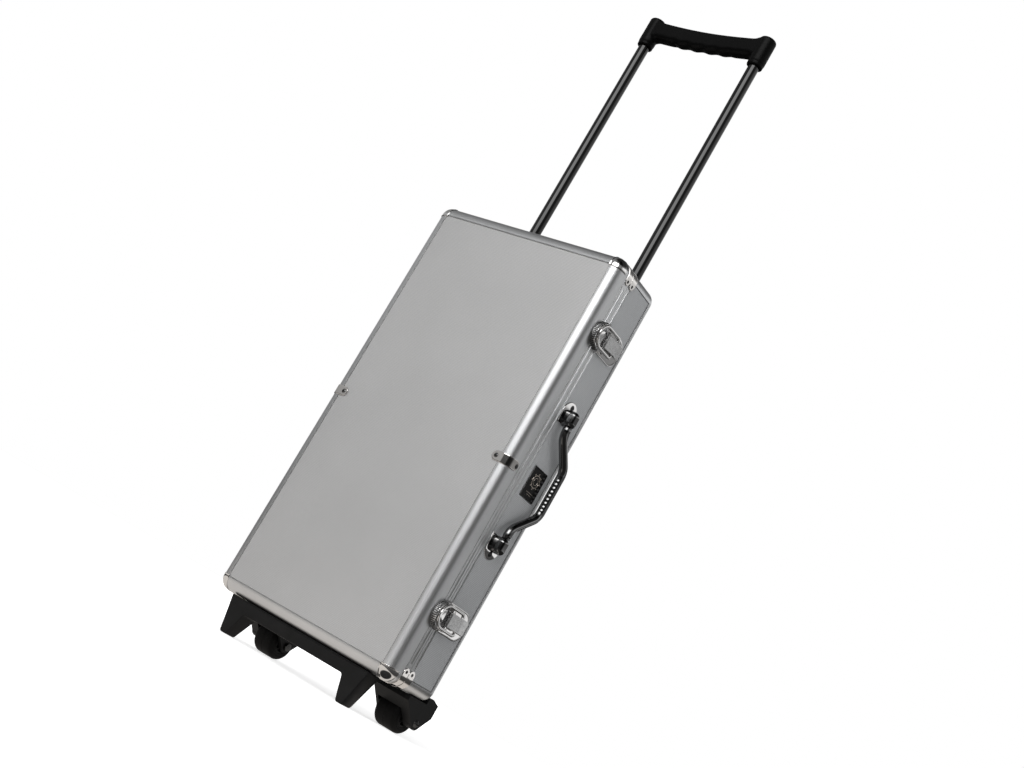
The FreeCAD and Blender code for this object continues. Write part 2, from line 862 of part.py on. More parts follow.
def latch_lever(name, z, hinge_x, hinge_y, half):
    """Bent sheet lever: hinge barrel, web, curl for the bail and a lifted finger tab."""
    skin = dim("lever_skin")
    bail_x = side_panel + dim("bail_lift")
    bail_y = dim("bail_pivot_y")
    barrel = dim("latch_barrel_radius")
    curl = dim("bail_barrel_radius")
    tab_end = dim("lever_end_y")
    tab_x = bail_x + dim("lever_tab_lift")
    web = pad_body(
        f"{name}_lever_web",
        "XY_Plane",
        [
            (hinge_x + barrel - skin, hinge_y),
            (bail_x + curl - skin, bail_y),
            (tab_x, tab_end),
            (tab_x + skin, tab_end),
            (bail_x + curl, bail_y),
            (hinge_x + barrel, hinge_y),
        ],
        half * 2,
    )
    move_to(web, 0, 0, z - half)
    hinge_barrel = rod(f"{name}_lever_barrel", barrel, half * 2, (hinge_x, hinge_y, z - half))
    bail_curl = rod(f"{name}_lever_curl", curl, half * 2, (bail_x, bail_y, z - half))
    gap = dim("running_gap")
    bores = [
        rod(
            f"{name}_lever_pin_bore",
            dim("latch_pin_radius") + gap,
            half * 2,
            (hinge_x, hinge_y, z - half),
        ),
        rod(
            f"{name}_lever_bail_bore",
            dim("bail_wire_radius") + gap,
            half * 2,
            (bail_x, bail_y, z - half),
        ),
    ]
    body = fuse(f"{name}_lever_all", [web, hinge_barrel, bail_curl])
    keep(f"{name}_lever", cut(f"{name}_lever", body, *bores))


def latch_bail(name, z):
    """Closed wire loop: one end turns in the lever's curl, the other crosses the catch."""
    wire = dim("bail_wire_radius")
    x = side_panel + dim("bail_lift")
    half = dim("bail_half_width")
    y_low = dim("bail_front_y")
    y_high = dim("bail_pivot_y")
    bend = dim("bail_bend_radius")
    loop = swept_rod(
        f"{name}_bail",
        wire,
        "YZ_Plane",
        [
            (y_high, half - bend, bend, 1),
            (y_high - bend, half),
            (y_low + half, half, half, 1),
            (y_low, 0, half, 1),
            (y_low + half, -half),
            (y_high - bend, -half, bend, 1),
            (y_high, bend - half),
        ],
        True,
        (0, y_high, half - bend),
    )
    keep(f"{name}_bail", move_to(loop, x, 0, z))


def latch_catch(name, z):
    """Half-round dish on the lid with a hook in it, low enough to pass under the bail."""
    edge_y = parting - dim("catch_gap")
    outer = dim("catch_radius")
    height = dim("catch_height")
    spot = (half_width, edge_y, z)
    dish = rod(f"{name}_dish_form", outer, height, spot, X_AXIS)
    hollow_spot = (half_width + dim("catch_skin"), edge_y, z)
    hollow = rod(f"{name}_dish_hollow", outer - dim("catch_wall"), height, hollow_spot, X_AXIS)
    hook_disc = rod(f"{name}_hook_form", dim("hook_radius"), dim("hook_height"), spot, X_AXIS)
    above_plate = is_outer_rim(half_width + dim("catch_skin"))
    hook = round_edges(f"{name}_hook", hook_disc, dim("hook_edge"), above_plate)
    whole = fuse(f"{name}_catch_whole", [cut(f"{name}_dish", dish, hollow), hook])
    window = box(
        f"{name}_catch_window",
        (half_width, half_width + height * 2),
        (edge_y - outer * 2, edge_y),
        (z - outer * 2, z + outer * 2),
    )
    return common(f"{name}_catch", whole, window)


def is_outer_rim(x):
    def chosen(edge):
        return all(v.Point.x > x.value for v in edge.Vertexes)
    return chosen


def latches(lid_rim):
    pins = []
    catches = []
    for name, z in zip(("lower_latch", "upper_latch"), latch_heights):
        pins.append(latch(name, z))
        catches.append(latch_catch(name, z))
    keep("latch_pins", group("latch_pins", pins))
    keep("latch_catches", cut("latch_catches", group("catch_pair", catches), lid_rim))


# ---------------------------------------------------------------- carry handle

def carry_handle():
    """Chromed bow: a round rod bent twice at each end, with turned pivots."""
    x = side_panel + dim("handle_lift")
    y = dim("handle_pivot_y")
    end = dim("handle_end")
    bow = swept_rod(
        "handle_bow",
        dim("handle_rod_radius"),
        "YZ_Plane",
        handle_path(),
        False,
        (0, 0, -end),
    )
    move_to(bow, x, y, middle)
    spigots = []
    for name, low in (("upper", end), ("lower", -end - dim("handle_spigot"))):
        start = (x, y, middle + low)
        spigot = dim("handle_spigot_radius")
        spigots.append(rod(f"{name}_spigot", spigot, dim("handle_spigot"), start))
    keep("carry_handle", fuse("carry_handle", [bow] + spigots))


def handle_path():
    """Centre line about the pivot line, lower end first: out, along the bow and back."""
    bend = dim("handle_bend_radius")
    slope = math.radians(HANDLE_SLOPE)
    bow = dim("handle_bow")
    flat = dim("handle_bend_end")
    rise = bend * (1 - math.cos(slope))
    shift = bend * math.sin(slope)
    run = (bow - rise * 2) / math.tan(slope)
    lower = [
        (0, -dim("handle_end")),
        (0, -(flat + shift * 2 + run), bend, -1),
        (rise, -(flat + shift + run)),
        (bow - rise, -(flat + shift), bend, 1),
        (bow, -flat),
    ]
    upper = [
        (bow, flat, bend, 1),
        (bow - rise, flat + shift),
        (rise, flat + shift + run, bend, -1),
        (0, flat + shift * 2 + run),
        (0, dim("handle_end")),
    ]
    return lower + upper


def handle_mount(name, way):
    """Oval plate with a boss that holds one end of the carry handle."""
    x = side_panel
    y = dim("handle_pivot_y")
    half = dim("mount_plate_half")
    inner = middle + (dim("handle_end") + dim("mount_gap")) * way
    plate_end = middle + (dim("handle_end") + half) * way
    z_range = (inner, plate_end) if way > 0 else (plate_end, inner)
    skin = dim("mount_plate_skin")
    plate = box(f"{name}_plate", (x, x + skin), (y - half, y + half), z_range)
    round_end = rod(f"{name}_plate_end", half, skin, (x, y, plate_end), X_AXIS)
    boss_half = dim("boss_half")
    boss_end = middle + (dim("handle_end") + dim("boss_length")) * way
    boss_z = (inner, boss_end) if way > 0 else (boss_end, inner)
    block = box(
        f"{name}_boss_block",
        (x, x + dim("boss_height")),
        (y - boss_half, y + boss_half),
        boss_z,
    )
    boss = round_edges(f"{name}_boss", block, dim("boss_edge"), is_outer_rim(x + skin))
    body = fuse(f"{name}_body", [plate, round_end, boss])
    bore = rod(
        f"{name}_bore",
        dim("handle_spigot_radius") + dim("running_gap"),
        dim("handle_spigot") + 1,
        (x + dim("handle_lift"), y, inner if way > 0 else inner - dim("handle_spigot") - 1),
    )
    keep(name, cut(name, body, bore))
    screw_spot = (x + skin, y, plate_end + dim("mount_screw_reach") * way)
    screw = (dim("mount_screw_radius"), dim("mount_screw_height"))
    return dome(f"{name}_screw", *screw, screw_spot, X_AXIS)


def nameplate():
    plate = box(
        "nameplate_block",
        (side_panel, side_panel + dim("nameplate_skin")),
        (dim("nameplate_front_y"), dim("nameplate_back_y")),
        (middle - dim("nameplate_below_middle"), middle + dim("nameplate_above_middle")),
    )
    item = doc.addObject("Part::Chamfer", "nameplate")
    doc.recompute()
    outer = is_outer_rim(side_panel)
    bevel = DIMENSIONS["nameplate_bevel"]
    item.Base = plate
    item.Edges = [(i, bevel, bevel) for i, e in enumerate(plate.Shape.Edges, start=1) if outer(e)]
    keep("nameplate", item)


# ---------------------------------------------------------------- trolley handle

def tubes(name, radius_out, radius_in, z_range, pin_hole=0, pin_heights=()):
    """A pair of tubes, one each side, with holes for the lock pins on their inner sides."""
    z_low, z_high = z_range
    start = (dim("tube_offset"), dim("tube_y"), z_low)
    solid = rod(name + "_outside", radius_out, z_high - z_low, start)
    tools = [rod(name + "_bore", radius_in, z_high - z_low, start)]
    for index, z in enumerate(pin_heights):
        spot = (dim("tube_offset"), dim("tube_y"), z)
        tools.append(rod(f"{name}_pin_hole_{index}", pin_hole, radius_out + 1, spot, -X_AXIS))
    right = cut(name + "_right", solid, *tools)
    return keep(name, group(name, [right, mirror(name + "_left", right)]))


def tube_blocks(name, z_range, hole, deep):
    """Plastic blocks that hold the outer tubes against the back of the case."""
    x = dim("tube_offset")
    half = dim("guide_half")
    y_range = (back, dim("tube_y") + dim("guide_reach"))
    block = box(f"{name}_block", (x - half, x + half), y_range, z_range)
    rounded = round_edges(f"{name}_rounded", block, dim("guide_corner"), back_uprights())
    bore = rod(f"{name}_bore", hole, deep, (x, dim("tube_y"), z_range[0]))
    right = cut(f"{name}_right", rounded, bore)
    keep(name, group(name, [right, mirror(f"{name}_left", right)]))


def back_uprights():
    along_z = runs_along(Z_AXIS)

    def chosen(edge):
        return along_z(edge) and edge.Vertexes[0].Point.y > back.value + 1
    return chosen


def trolley():
    guide_high = top - dim("guide_below_top")
    guide_low = guide_high - dim("guide_height")
    collar_high = guide_high + dim("collar_height")
    foot = dim("inner_tube_foot")
    pin_z = foot + dim("lock_pin_rise")
    tubes(
        "outer_tubes",
        dim("outer_tube_radius"),
        dim("outer_tube_bore"),
        (-dim("socket_sink"), guide_high),
        dim("lock_pin_radius") + dim("pin_hole_gap"),
        (pin_z, pin_z - dim("handle_travel")),
    )
    tube_blocks(
        "tube_guides", (guide_low, guide_high), dim("outer_tube_radius"), guide_high - guide_low
    )
    collar_bore = dim("inner_tube_radius") + dim("running_gap")
    collar = dim("outer_tube_radius") + dim("collar_wall")
    tubes("tube_collars", collar, collar_bore, (guide_high, collar_high))
    tubes(
        "inner_tubes",
        dim("inner_tube_radius"),
        dim("inner_tube_bore"),
        (foot, dim("grip_foot") + dim("socket_depth")),
        dim("lock_pin_radius") + dim("running_gap"),
        (pin_z,),
    )
    bush_radius = dim("outer_tube_bore") - dim("running_gap")
    bush_length = dim("bush_length")
    bush_foot = (dim("tube_offset"), dim("tube_y"), foot - bush_length)
    bush = rod("bush_rod", bush_radius, bush_length, bush_foot)
    relief = rod("bush_relief", dim("bush_bore"), bush_length, bush_foot)
    right = cut("tube_bush", bush, relief)
    keep("tube_bushes", group("tube_bushes", [right, mirror("tube_bush_left", right)]))
    grip()
    lock_parts()


def grip():
    """Moulded cross grip: a sagging bar between two sleeves, with finger waves below."""
    x = dim("tube_offset")
    y = dim("tube_y")
    foot = dim("grip_foot")
    height = dim("sleeve_height")
    bar_low = foot + dim("bar_rise")
    bar_high = bar_low + dim("bar_height")
    sag = dim("bar_sag")
    reach = x - dim("sleeve_radius") * 0.7
    # circle through both ends of an edge that is `sag` lower in its middle
    curve = (reach * reach + sag * sag) / (sag * 2)
    bar = pad_body(
        "grip_bar",
        "XZ_Plane",
        [
            (-reach, bar_low, curve, 1),
            (reach, bar_low),
            (reach, bar_high, curve, -1),
            (-reach, bar_high),
        ],
        dim("bar_depth"),
        both_ways=True,
    )
    move_to(bar, 0, y, 0)
    soft_bar = round_edges("grip_bar_rounded", bar, dim("bar_edge"), runs_across_grip())
    sleeves = []
    for side, way in (("right", 1), ("left", -1)):
        sleeve = rod(f"{side}_sleeve", dim("sleeve_radius"), height, (x * way, y, foot))
        sleeves.append(sleeve)
    body = fuse("grip_body", [soft_bar] + sleeves)
    holes = []
    for side, way in (("right", 1), ("left", -1)):
        start = (x * way, y, foot)
        holes.append(rod(f"{side}_socket", dim("inner_tube_radius"), dim("socket_depth"), start))
    slot_half = dim("button_half") + dim("button_gap")
    slot_depth = dim("button_half_depth") + dim("button_gap")
    slot_z = (foot + dim("button_slot_rise"), bar_high)
    holes.append(box("button_slot", (-slot_half, slot_half), (y - slot_depth, y + slot_depth), slot_z))
    channel_x = x + dim("pull_rod_radius") + dim("button_gap")
    channel_depth = dim("cross_bar_half_depth") + dim("button_gap")
    channel_low = foot + dim("socket_depth")
    channel_high = channel_low + dim("button_travel") + dim("cross_bar_height") + 1
    channel = box(
        "rod_channel",
        (-channel_x, channel_x),
        (y - channel_depth, y + channel_depth),
        (channel_low, channel_high),
    )
    holes.append(channel)
    keep("grip", cut("grip", body, *holes))


def runs_across_grip():
    def chosen(edge):
        ends = edge.Vertexes
        return len(ends) == 2 and abs(ends[1].Point.x - ends[0].Point.x) > 50
    return chosen


def lock_parts():
    """Push button with its cross bar and pull rods, its spring and the two lock pins."""
    x = dim("tube_offset")
    y = dim("tube_y")
    foot = dim("inner_tube_foot")
    bar_low = dim("grip_foot") + dim("bar_rise")
    bar_middle = bar_low + dim("bar_height") - dim("bar_sag")
    cross_low = dim("grip_foot") + dim("socket_depth") + dim("button_travel") + 0.5
    cross_high = cross_low + dim("cross_bar_height")
    half = dim("button_half")
    depth = dim("button_half_depth")
    cap_z = (cross_high, bar_middle + dim("button_proud"))
    cap = box("button_cap", (-half, half), (y - depth, y + depth), cap_z)
    rounded = round_edges("button_cap_rounded", cap, dim("button_edge"), runs_along(Y_AXIS))
    pull = dim("pull_rod_radius")
    bar_depth = dim("cross_bar_half_depth")
    cross_y = (y - bar_depth, y + bar_depth)
    cross = box("button_cross", (-x - pull, x + pull), cross_y, (cross_low, cross_high))
    rods = []
    pins = []
    rod_low = foot + dim("lock_pin_rise") + dim("lock_pin_radius") + dim("button_travel") + 1
    for side, way in (("right", 1), ("left", -1)):
        start = (x * way, y, rod_low)
        rods.append(rod(f"{side}_pull_rod", pull, cross_low + 1 - rod_low, start))
        tip = ((x - dim("inner_tube_radius") + 0.3) * way, y, foot + dim("lock_pin_rise"))
        length = dim("lock_pin_length")
        pins.append((side, rod(f"{side}_pin", dim("lock_pin_radius"), length, tip, X_AXIS * way)))
    keep("release_button", fuse("release_button", [rounded, cross] + rods))
    for side, pin in pins:
        keep(f"{side}_lock_pin", pin)
    spring_low = dim("grip_foot") + dim("button_slot_rise") + dim("button_gap")
    spring_high = cross_low - dim("button_gap")
    spring_run = spring_high - spring_low
    outer = rod("spring_outside", dim("spring_radius"), spring_run, (0, y, spring_low))
    inner = rod("spring_inside", dim("spring_bore"), spring_run, (0, y, spring_low))
    keep("button_spring", cut("button_spring", outer, inner))


# ---------------------------------------------------------------- carriage

def foot_bar():
    """Black bar below the front edge, with a tapered foot near each end and a flange that
    reaches back under the base, so that the lid can swing clear above it."""
    half = dim("foot_bar_half")
    bar = -dim("foot_bar_height")
    under_lid = -dim("lid_clear")
    depth = dim("foot_depth")
    y = dim("foot_front_y")
    y_back = y + depth
    slant = dim("foot_outer_slant")
    inner_floor = dim("foot_inner_floor")
    inner_top = dim("foot_inner_top")
    outline = [
        (-half, under_lid),
        (-half + slant, floor),
        (-half + inner_floor, floor),
        (-half + inner_top, bar),
        (half - inner_top, bar),
        (half - inner_floor, floor),
        (half - slant, floor),
        (half, under_lid),
    ]
    body = pad_body("foot_bar_pad", "XZ_Plane", outline, depth)
    move_to(body, 0, y_back, 0)
    wedge = pad_body(
        "foot_taper",
        "YZ_Plane",
        [
            (y_back + 1, bar),
            (y_back - dim("foot_taper"), floor - 1),
            (y_back + dim("foot_taper"), floor - 1),
            (y_back + dim("foot_taper"), bar),
        ],
        half * 2,
        both_ways=True,
    )
    tapered = cut("foot_bar_tapered", body, wedge)
    rounded = round_edges("foot_bar_rounded", tapered, dim("foot_edge"), foot_ends())
    flange_low = -dim("foot_flange_skin")
    flange_half = half - dim("foot_flange_inset")
    flange_x = (-flange_half, flange_half)
    seat_y = parting + dim("rim_gap") + dim("foot_seat_gap")
    neck = box("foot_neck", flange_x, (y_back, seat_y), (flange_low, under_lid))
    seat = box("foot_seat", flange_x, (seat_y, dim("foot_flange_back_y")), (flange_low, 0))
    keep("foot_bar", fuse("foot_bar", [rounded, neck, seat]))


def foot_ends():
    """The edges across the ends of the two feet, which are rounded where they meet the floor."""
    across = runs_along(Y_AXIS)

    def chosen(edge):
        return across(edge) and edge.Vertexes[0].Point.z < floor.value + 1
    return chosen


def wheel_housing(side, way):
    """Moulded fork under a back corner: two cheeks, a roof, a back wall and a tube socket."""
    centre = dim("wheel_centre")
    half = dim("wheel_width") / 2 + dim("cheek_gap")
    inner = centre - half - dim("inner_cheek")
    outer = centre + half + dim("outer_cheek")
    axle_z = floor + dim("wheel_radius")
    y = dim("axle_y")
    lobe = dim("cheek_lobe")
    lobe_low = axle_z - dim("cheek_lobe_drop")
    front_end = back - dim("housing_front")
    back_end = back + dim("housing_back")
    near_case = back + dim("case_gap")
    rise = dim("housing_rise")
    block = pad_body(
        f"{side}_fork",
        "YZ_Plane",
        [
            (front_end, 0),
            (front_end, -dim("housing_lip")),
            (y - lobe, lobe_low, dim("cheek_lobe_round"), 1),
            (y + lobe, lobe_low),
            (back_end, axle_z + dim("housing_back_over_axle")),
            (back_end, dim("housing_back_rise")),
            (back + dim("housing_shoulder"), rise),
            (near_case, rise),
            (near_case, 0),
        ],
        outer - inner,
    )
    move_to(block, inner, 0, 0)
    well_start = (centre - half, y, axle_z)
    well_radius = dim("wheel_radius") + dim("well_gap")
    well = rod(f"{side}_wheel_well", well_radius, half * 2, well_start, X_AXIS)
    # below the axle the well is open to the floor, so the cheeks alone reach down
    opening = box(
        f"{side}_well_mouth",
        (centre - half, centre + half),
        (y - dim("well_mouth_front"), y + dim("well_mouth_back")),
        (floor, axle_z),
    )
    axle_hole = rod(
        f"{side}_axle_hole", dim("axle_radius"), outer - inner, (inner, y, axle_z), X_AXIS
    )
    foot_spot = (dim("tube_offset"), dim("tube_y"), -dim("socket_sink"))
    tube = dim("outer_tube_radius")
    boss_high = rise + dim("socket_sink")
    boss = rod(f"{side}_socket_boss", tube + dim("socket_wall"), boss_high, foot_spot)
    socket = rod(f"{side}_tube_socket", tube, boss_high, foot_spot)
    solid = fuse(f"{side}_fork_solid", [block, boss])
    body = cut(f"{side}_fork_cut", solid, well, opening, axle_hole, socket)
    if way > 0:
        keep(f"{side}_wheel_housing", body)
    else:
        keep(f"{side}_wheel_housing", mirror(f"{side}_wheel_housing", body))
    return inner, outer, axle_z


def wheel(side, way):
    """Rolling wheel: a rubber tyre with rounded shoulders on a plastic hub."""
    centre = dim("wheel_centre") * way
    half = dim("wheel_width") / 2
    y = dim("axle_y")
    z = floor + dim("wheel_radius")
    hub_radius = dim("hub_radius")
    hub_half = half + dim("nave_reach")
    shoulder = dim("tyre_shoulder")
    disc = rod(f"{side}_tyre_disc", dim("wheel_radius"), half * 2, (centre - half, y, z), X_AXIS)
    rounded = round_edges(f"{side}_tyre_rounded", disc, shoulder, lambda edge: len(edge.Vertexes) == 1)
    seat = rod(f"{side}_tyre_seat", hub_radius, half * 2, (centre - half, y, z), X_AXIS)
    keep(f"{side}_tyre", cut(f"{side}_tyre", rounded, seat))
    hub = rod(f"{side}_hub_disc", hub_radius, half * 2, (centre - half, y, z), X_AXIS)
    nave_start = (centre - hub_half, y, z)
    nave = rod(f"{side}_nave", dim("nave_radius"), hub_half * 2, nave_start, X_AXIS)
    bore = rod(
        f"{side}_hub_bore",
        dim("axle_radius") + dim("running_gap"),
        hub_half * 2,
        (centre - hub_half, y, z),
        X_AXIS,
    )
    keep(f"{side}_hub", cut(f"{side}_hub", fuse(f"{side}_hub_all", [hub, nave]), bore))


def axle(side, way, inner, outer, axle_z):
    """Axle bolt with a domed head outside and a nut inside."""
    y = dim("axle_y")
    nut_height = dim("nut_height")
    tail = nut_height + 0.5
    shank_length = outer - inner + tail
    shank_x = inner - tail if way > 0 else -outer
    shank = rod(f"{side}_shank", dim("axle_radius"), shank_length, (shank_x, y, axle_z), X_AXIS)
    head_size = (dim("bolt_head_radius"), dim("bolt_head_height"))
    head = dome(f"{side}_bolt_head", *head_size, (outer * way, y, axle_z), X_AXIS * way)
    keep(f"{side}_axle_bolt", fuse(f"{side}_axle_bolt", [shank, head]))
    nut_x = inner - nut_height if way > 0 else -inner
    nut = doc.addObject("Part::Prism", f"{side}_nut_blank")
    nut.Polygon = 6
    bind(nut, "Circumradius", dim("bolt_head_radius"))
    bind(nut, "Height", nut_height)
    nut.Placement.Rotation = FreeCAD.Rotation(Z_AXIS, X_AXIS)
    move_to(nut, nut_x, y, axle_z)
    hole = rod(f"{side}_nut_hole", dim("axle_radius"), nut_height, (nut_x, y, axle_z), X_AXIS)
    return cut(f"{side}_axle_nut", nut, hole)


def carriage():
    foot_bar()
    nuts = []
    for side, way in (("right", 1), ("left", -1)):
        inner, outer, axle_z = wheel_housing(side, way)
        wheel(side, way)
        nuts.append(axle(side, way, inner, outer, axle_z))
    keep("axle_nuts", group("axle_nuts", nuts))
    carriage_screws()


def carriage_screws():
    """Pan head screws: under the foot bar and on the backs of the tube guides."""
    heads = []
    foot_screw = (dim("foot_screw_radius"), dim("foot_screw_height"))
    for index, x in enumerate(FOOT_SCREWS_X):
        spot = (x, dim("foot_screw_y"), -dim("foot_flange_skin"))
        heads.append(dome(f"foot_screw_{index}", *foot_screw, spot, -Z_AXIS))
    guide_screw = (dim("guide_screw_radius"), dim("guide_screw_height"))
    for index, below in enumerate(GUIDE_SCREWS_BELOW_TOP):
        spot = (dim("tube_offset"), dim("tube_y") + dim("guide_reach"), top - below)
        heads.append(dome(f"guide_screw_{index}", *guide_screw, spot, Y_AXIS))
    keep("carriage_screws", both_sides("carriage_screws", heads))


# ---------------------------------------------------------------- build

def build():
    edge_rails("lid", dim("lid_leg"), front, Y_AXIS)
    edge_rails("base", dim("base_leg"), back, -Y_AXIS)
    lid_rim = rim("lid_rim", (lid_rim_front, parting - dim("rim_gap")), parting - 5)
    rim("base_rim", (parting + dim("rim_gap"), base_rim_back), parting + 5.5)
    panels()
    case_form = shell_corners()
    wrapped_fittings(case_form)
    fastener_heads()
    lid_pad()
    chip_tray()
    piano_hinge()
    latches(lid_rim)
    carry_handle()
    screws = [handle_mount("upper_handle_mount", 1), handle_mount("lower_handle_mount", -1)]
    keep("handle_screws", group("handle_screws", screws))
    nameplate()
    trolley()
    carriage()


def check_and_write():
    doc.recompute()
    failed = [o.Name for o in doc.Objects if {"Invalid", "Error"} & set(o.State)]
    if failed:
        raise RuntimeError(f"objects that did not compute: {failed}")
    os.makedirs("parts", exist_ok=True)
    for item in sub_parts:
        shape = item.Shape
        if shape.isNull() or not shape.isValid() or not shape.Solids:
            raise RuntimeError(f"{item.Label} has no valid solid")
        shape.exportStep(os.path.join("parts", item.Label + ".step"))
    print(len(sub_parts), "sub-parts")


build()
check_and_write()
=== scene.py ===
import json
import math

import bmesh
import bpy
import numpy as np
from mathutils import Matrix, Vector

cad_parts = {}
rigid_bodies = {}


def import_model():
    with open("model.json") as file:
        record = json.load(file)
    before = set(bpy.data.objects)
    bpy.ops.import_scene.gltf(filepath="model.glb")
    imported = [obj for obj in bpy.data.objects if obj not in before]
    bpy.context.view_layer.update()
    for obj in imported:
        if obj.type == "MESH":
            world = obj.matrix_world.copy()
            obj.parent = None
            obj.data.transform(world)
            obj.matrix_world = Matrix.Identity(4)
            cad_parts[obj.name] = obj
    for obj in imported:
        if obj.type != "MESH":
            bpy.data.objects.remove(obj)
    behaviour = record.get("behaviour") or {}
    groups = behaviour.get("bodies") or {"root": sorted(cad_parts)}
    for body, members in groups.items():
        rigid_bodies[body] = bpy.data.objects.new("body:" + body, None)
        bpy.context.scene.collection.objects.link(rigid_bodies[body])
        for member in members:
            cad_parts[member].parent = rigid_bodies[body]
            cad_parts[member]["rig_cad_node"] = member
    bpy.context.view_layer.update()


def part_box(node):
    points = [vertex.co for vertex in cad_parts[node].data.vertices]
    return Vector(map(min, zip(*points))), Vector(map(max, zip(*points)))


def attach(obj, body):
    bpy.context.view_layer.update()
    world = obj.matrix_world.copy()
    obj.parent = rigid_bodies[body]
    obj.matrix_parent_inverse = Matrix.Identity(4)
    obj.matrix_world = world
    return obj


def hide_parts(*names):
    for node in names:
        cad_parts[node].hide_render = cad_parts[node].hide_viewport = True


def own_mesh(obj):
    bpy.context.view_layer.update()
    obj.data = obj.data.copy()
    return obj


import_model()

# All shapes below are worked out in millimetres in the row frame: +X towards the
# latches, +Y towards the back, +Z up, origin in the middle of the case's bottom end.
MM = 0.001


def span(node):
    """Lowest and highest corner of a CAD node, in millimetres."""
    low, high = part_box(node)
    return np.array(low) / MM, np.array(high) / MM


def middle(node):
    """The middle of a CAD node's box, in millimetres."""
    low, high = span(node)
    return (low + high) / 2


HALF = span("lid_long_rails")[1][0]
FRONT = span("lid_long_rails")[0][1]
BACK = span("base_long_rails")[1][1]
TOP = span("lid_short_rails")[1][2]
ROUND = span("lid_long_rails")[0][2]
LID_SIDE_END = span("lid_long_rails")[1][1]
BASE_SIDE_END = span("base_long_rails")[0][1]
PARTING = (span("lid_rim")[1][1] + span("base_rim")[0][1]) / 2
MIDDLE = TOP / 2
CAP_REACH = 17.0
CLIP_REACH = 25.0


# ---------------------------------------------------------------- shapes in code

class Shape:
    """Points in millimetres and faces between them."""

    def __init__(self):
        self.points = []
        self.faces = []
        self.slots = []

    def add(self, points, faces, slot=0):
        start = len(self.points)
        self.points.extend(tuple(float(c) for c in p) for p in points)
        self.faces.extend(tuple(i + start for i in face) for face in faces)
        self.slots.extend([slot] * len(faces))
        return self

    def rows(self, rows, ring=False, loop=False, caps=False, slot=0):
        """A skin over rows of points; ring closes each row, loop joins last row to first."""
        rows = np.asarray(rows, float)
        count, width = rows.shape[:2]
        faces = []
        for i in range(count if loop else count - 1):
            for j in range(width if ring else width - 1):
                k = (i + 1) % count
                n = (j + 1) % width
                faces.append((i * width + j, i * width + n, k * width + n, k * width + j))
        if caps:
            faces.append(tuple(reversed(range(width))))
            faces.append(tuple(range((count - 1) * width, count * width)))
        return self.add(rows.reshape(-1, 3), faces, slot)

    def moved(self, change):
        """A copy with every point put through the function `change`."""
        copy = Shape()
        copy.points = [tuple(change(np.array(p))) for p in self.points]
        copy.faces = list(self.faces)
        copy.slots = list(self.slots)
        return copy

    def join(self, other):
        start = len(self.points)
        self.points.extend(other.points)
        self.faces.extend(tuple(i + start for i in face) for face in other.faces)
        self.slots.extend(other.slots)
        return self


def both(shape):
    """The shape together with its mirror image on the left side."""
    other = shape.moved(lambda p: (-p[0], p[1], p[2]))
    return Shape().join(shape).join(other)


def tint(shape, slot):
    """Put every face of the shape in one material slot."""
    shape.slots = [slot] * len(shape.faces)
    return shape


def turned(shape, angle, centre):
    """Turn a shape drawn about the origin round the X axis, then put it at centre."""
    cos = math.cos(angle)
    sin = math.sin(angle)

    def change(p):
        return (
            centre[0] + p[0],
            centre[1] + p[1] * cos - p[2] * sin,
            centre[2] + p[1] * sin + p[2] * cos,
        )
    return shape.moved(change)


def linked(name, data):
    """A new object that holds the data, put into the scene."""
    obj = bpy.data.objects.new(name, data)
    bpy.context.scene.collection.objects.link(obj)
    return obj


def piece(name, shape, materials, body, nodes=(), sharp=40.0):
    """Make the object from a shape, ride it on its body and let it stand for CAD nodes."""
    mesh = bpy.data.meshes.new(name)
    mesh.from_pydata([Vector(p) * MM for p in shape.points], [], shape.faces)
    mesh.polygons.foreach_set("material_index", shape.slots)
    work = bmesh.new()
    work.from_mesh(mesh)
    bmesh.ops.remove_doubles(work, verts=work.verts, dist=2e-6)
    bmesh.ops.recalc_face_normals(work, faces=work.faces)
    work.to_mesh(mesh)
    work.free()
    mesh.shade_smooth()
    mesh.set_sharp_from_angle(angle=math.radians(sharp))
    for item in materials if isinstance(materials, list) else [materials]:
        mesh.materials.append(item)
    obj = linked(name, mesh)
    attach(obj, body)
    if nodes:
        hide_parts(*nodes)
    return obj


def rounded_rect(half_a, half_b, corner, steps=4):
    """Points of a rectangle with rounded corners, about its centre."""
    corner = min(corner, half_a * 0.999, half_b * 0.999)
    points = []
    for quarter, (sa, sb) in enumerate(((1, 1), (-1, 1), (-1, -1), (1, -1))):
        for i in range(steps + 1):
            angle = math.pi / 2 * (quarter + i / steps)
            a = sa * (half_a - corner) + corner * math.cos(angle)
            b = sb * (half_b - corner) + corner * math.sin(angle)
            points.append((a, b))
    return points


def rounded_box(low, high, corner, steps=4):
    """A block with rounded edges: a cube grid pulled onto the rounded form."""
    low = np.array(low, float)
    high = np.array(high, float)
    centre = (low + high) / 2
    half = (high - low) / 2
    corner = min(corner, *(half * 0.999))
    lines = []
    for h in half:
        near = [corner * (1 - math.tan(math.pi / 4 * (1 - i / steps))) for i in range(steps + 1)]
        side = [-h + t for t in near] + [h - t for t in reversed(near)]
        lines.append(sorted(set(round(v, 5) for v in side)))
    shape = Shape()
    for axis in range(3):
        a, b = [k for k in range(3) if k != axis]
        for sign in (-1, 1):
            rows = []
            for va in lines[a]:
                row = []
                for vb in lines[b]:
                    q = np.zeros(3)
                    q[axis] = sign * half[axis]
                    q[a] = va
                    q[b] = vb
                    inner = np.clip(q, -half + corner, half - corner)
                    out = q - inner
                    length = np.linalg.norm(out)
                    row.append(centre + inner + out / max(length, 1e-9) * corner)
                rows.append(row)
            shape.rows(rows)
    return shape


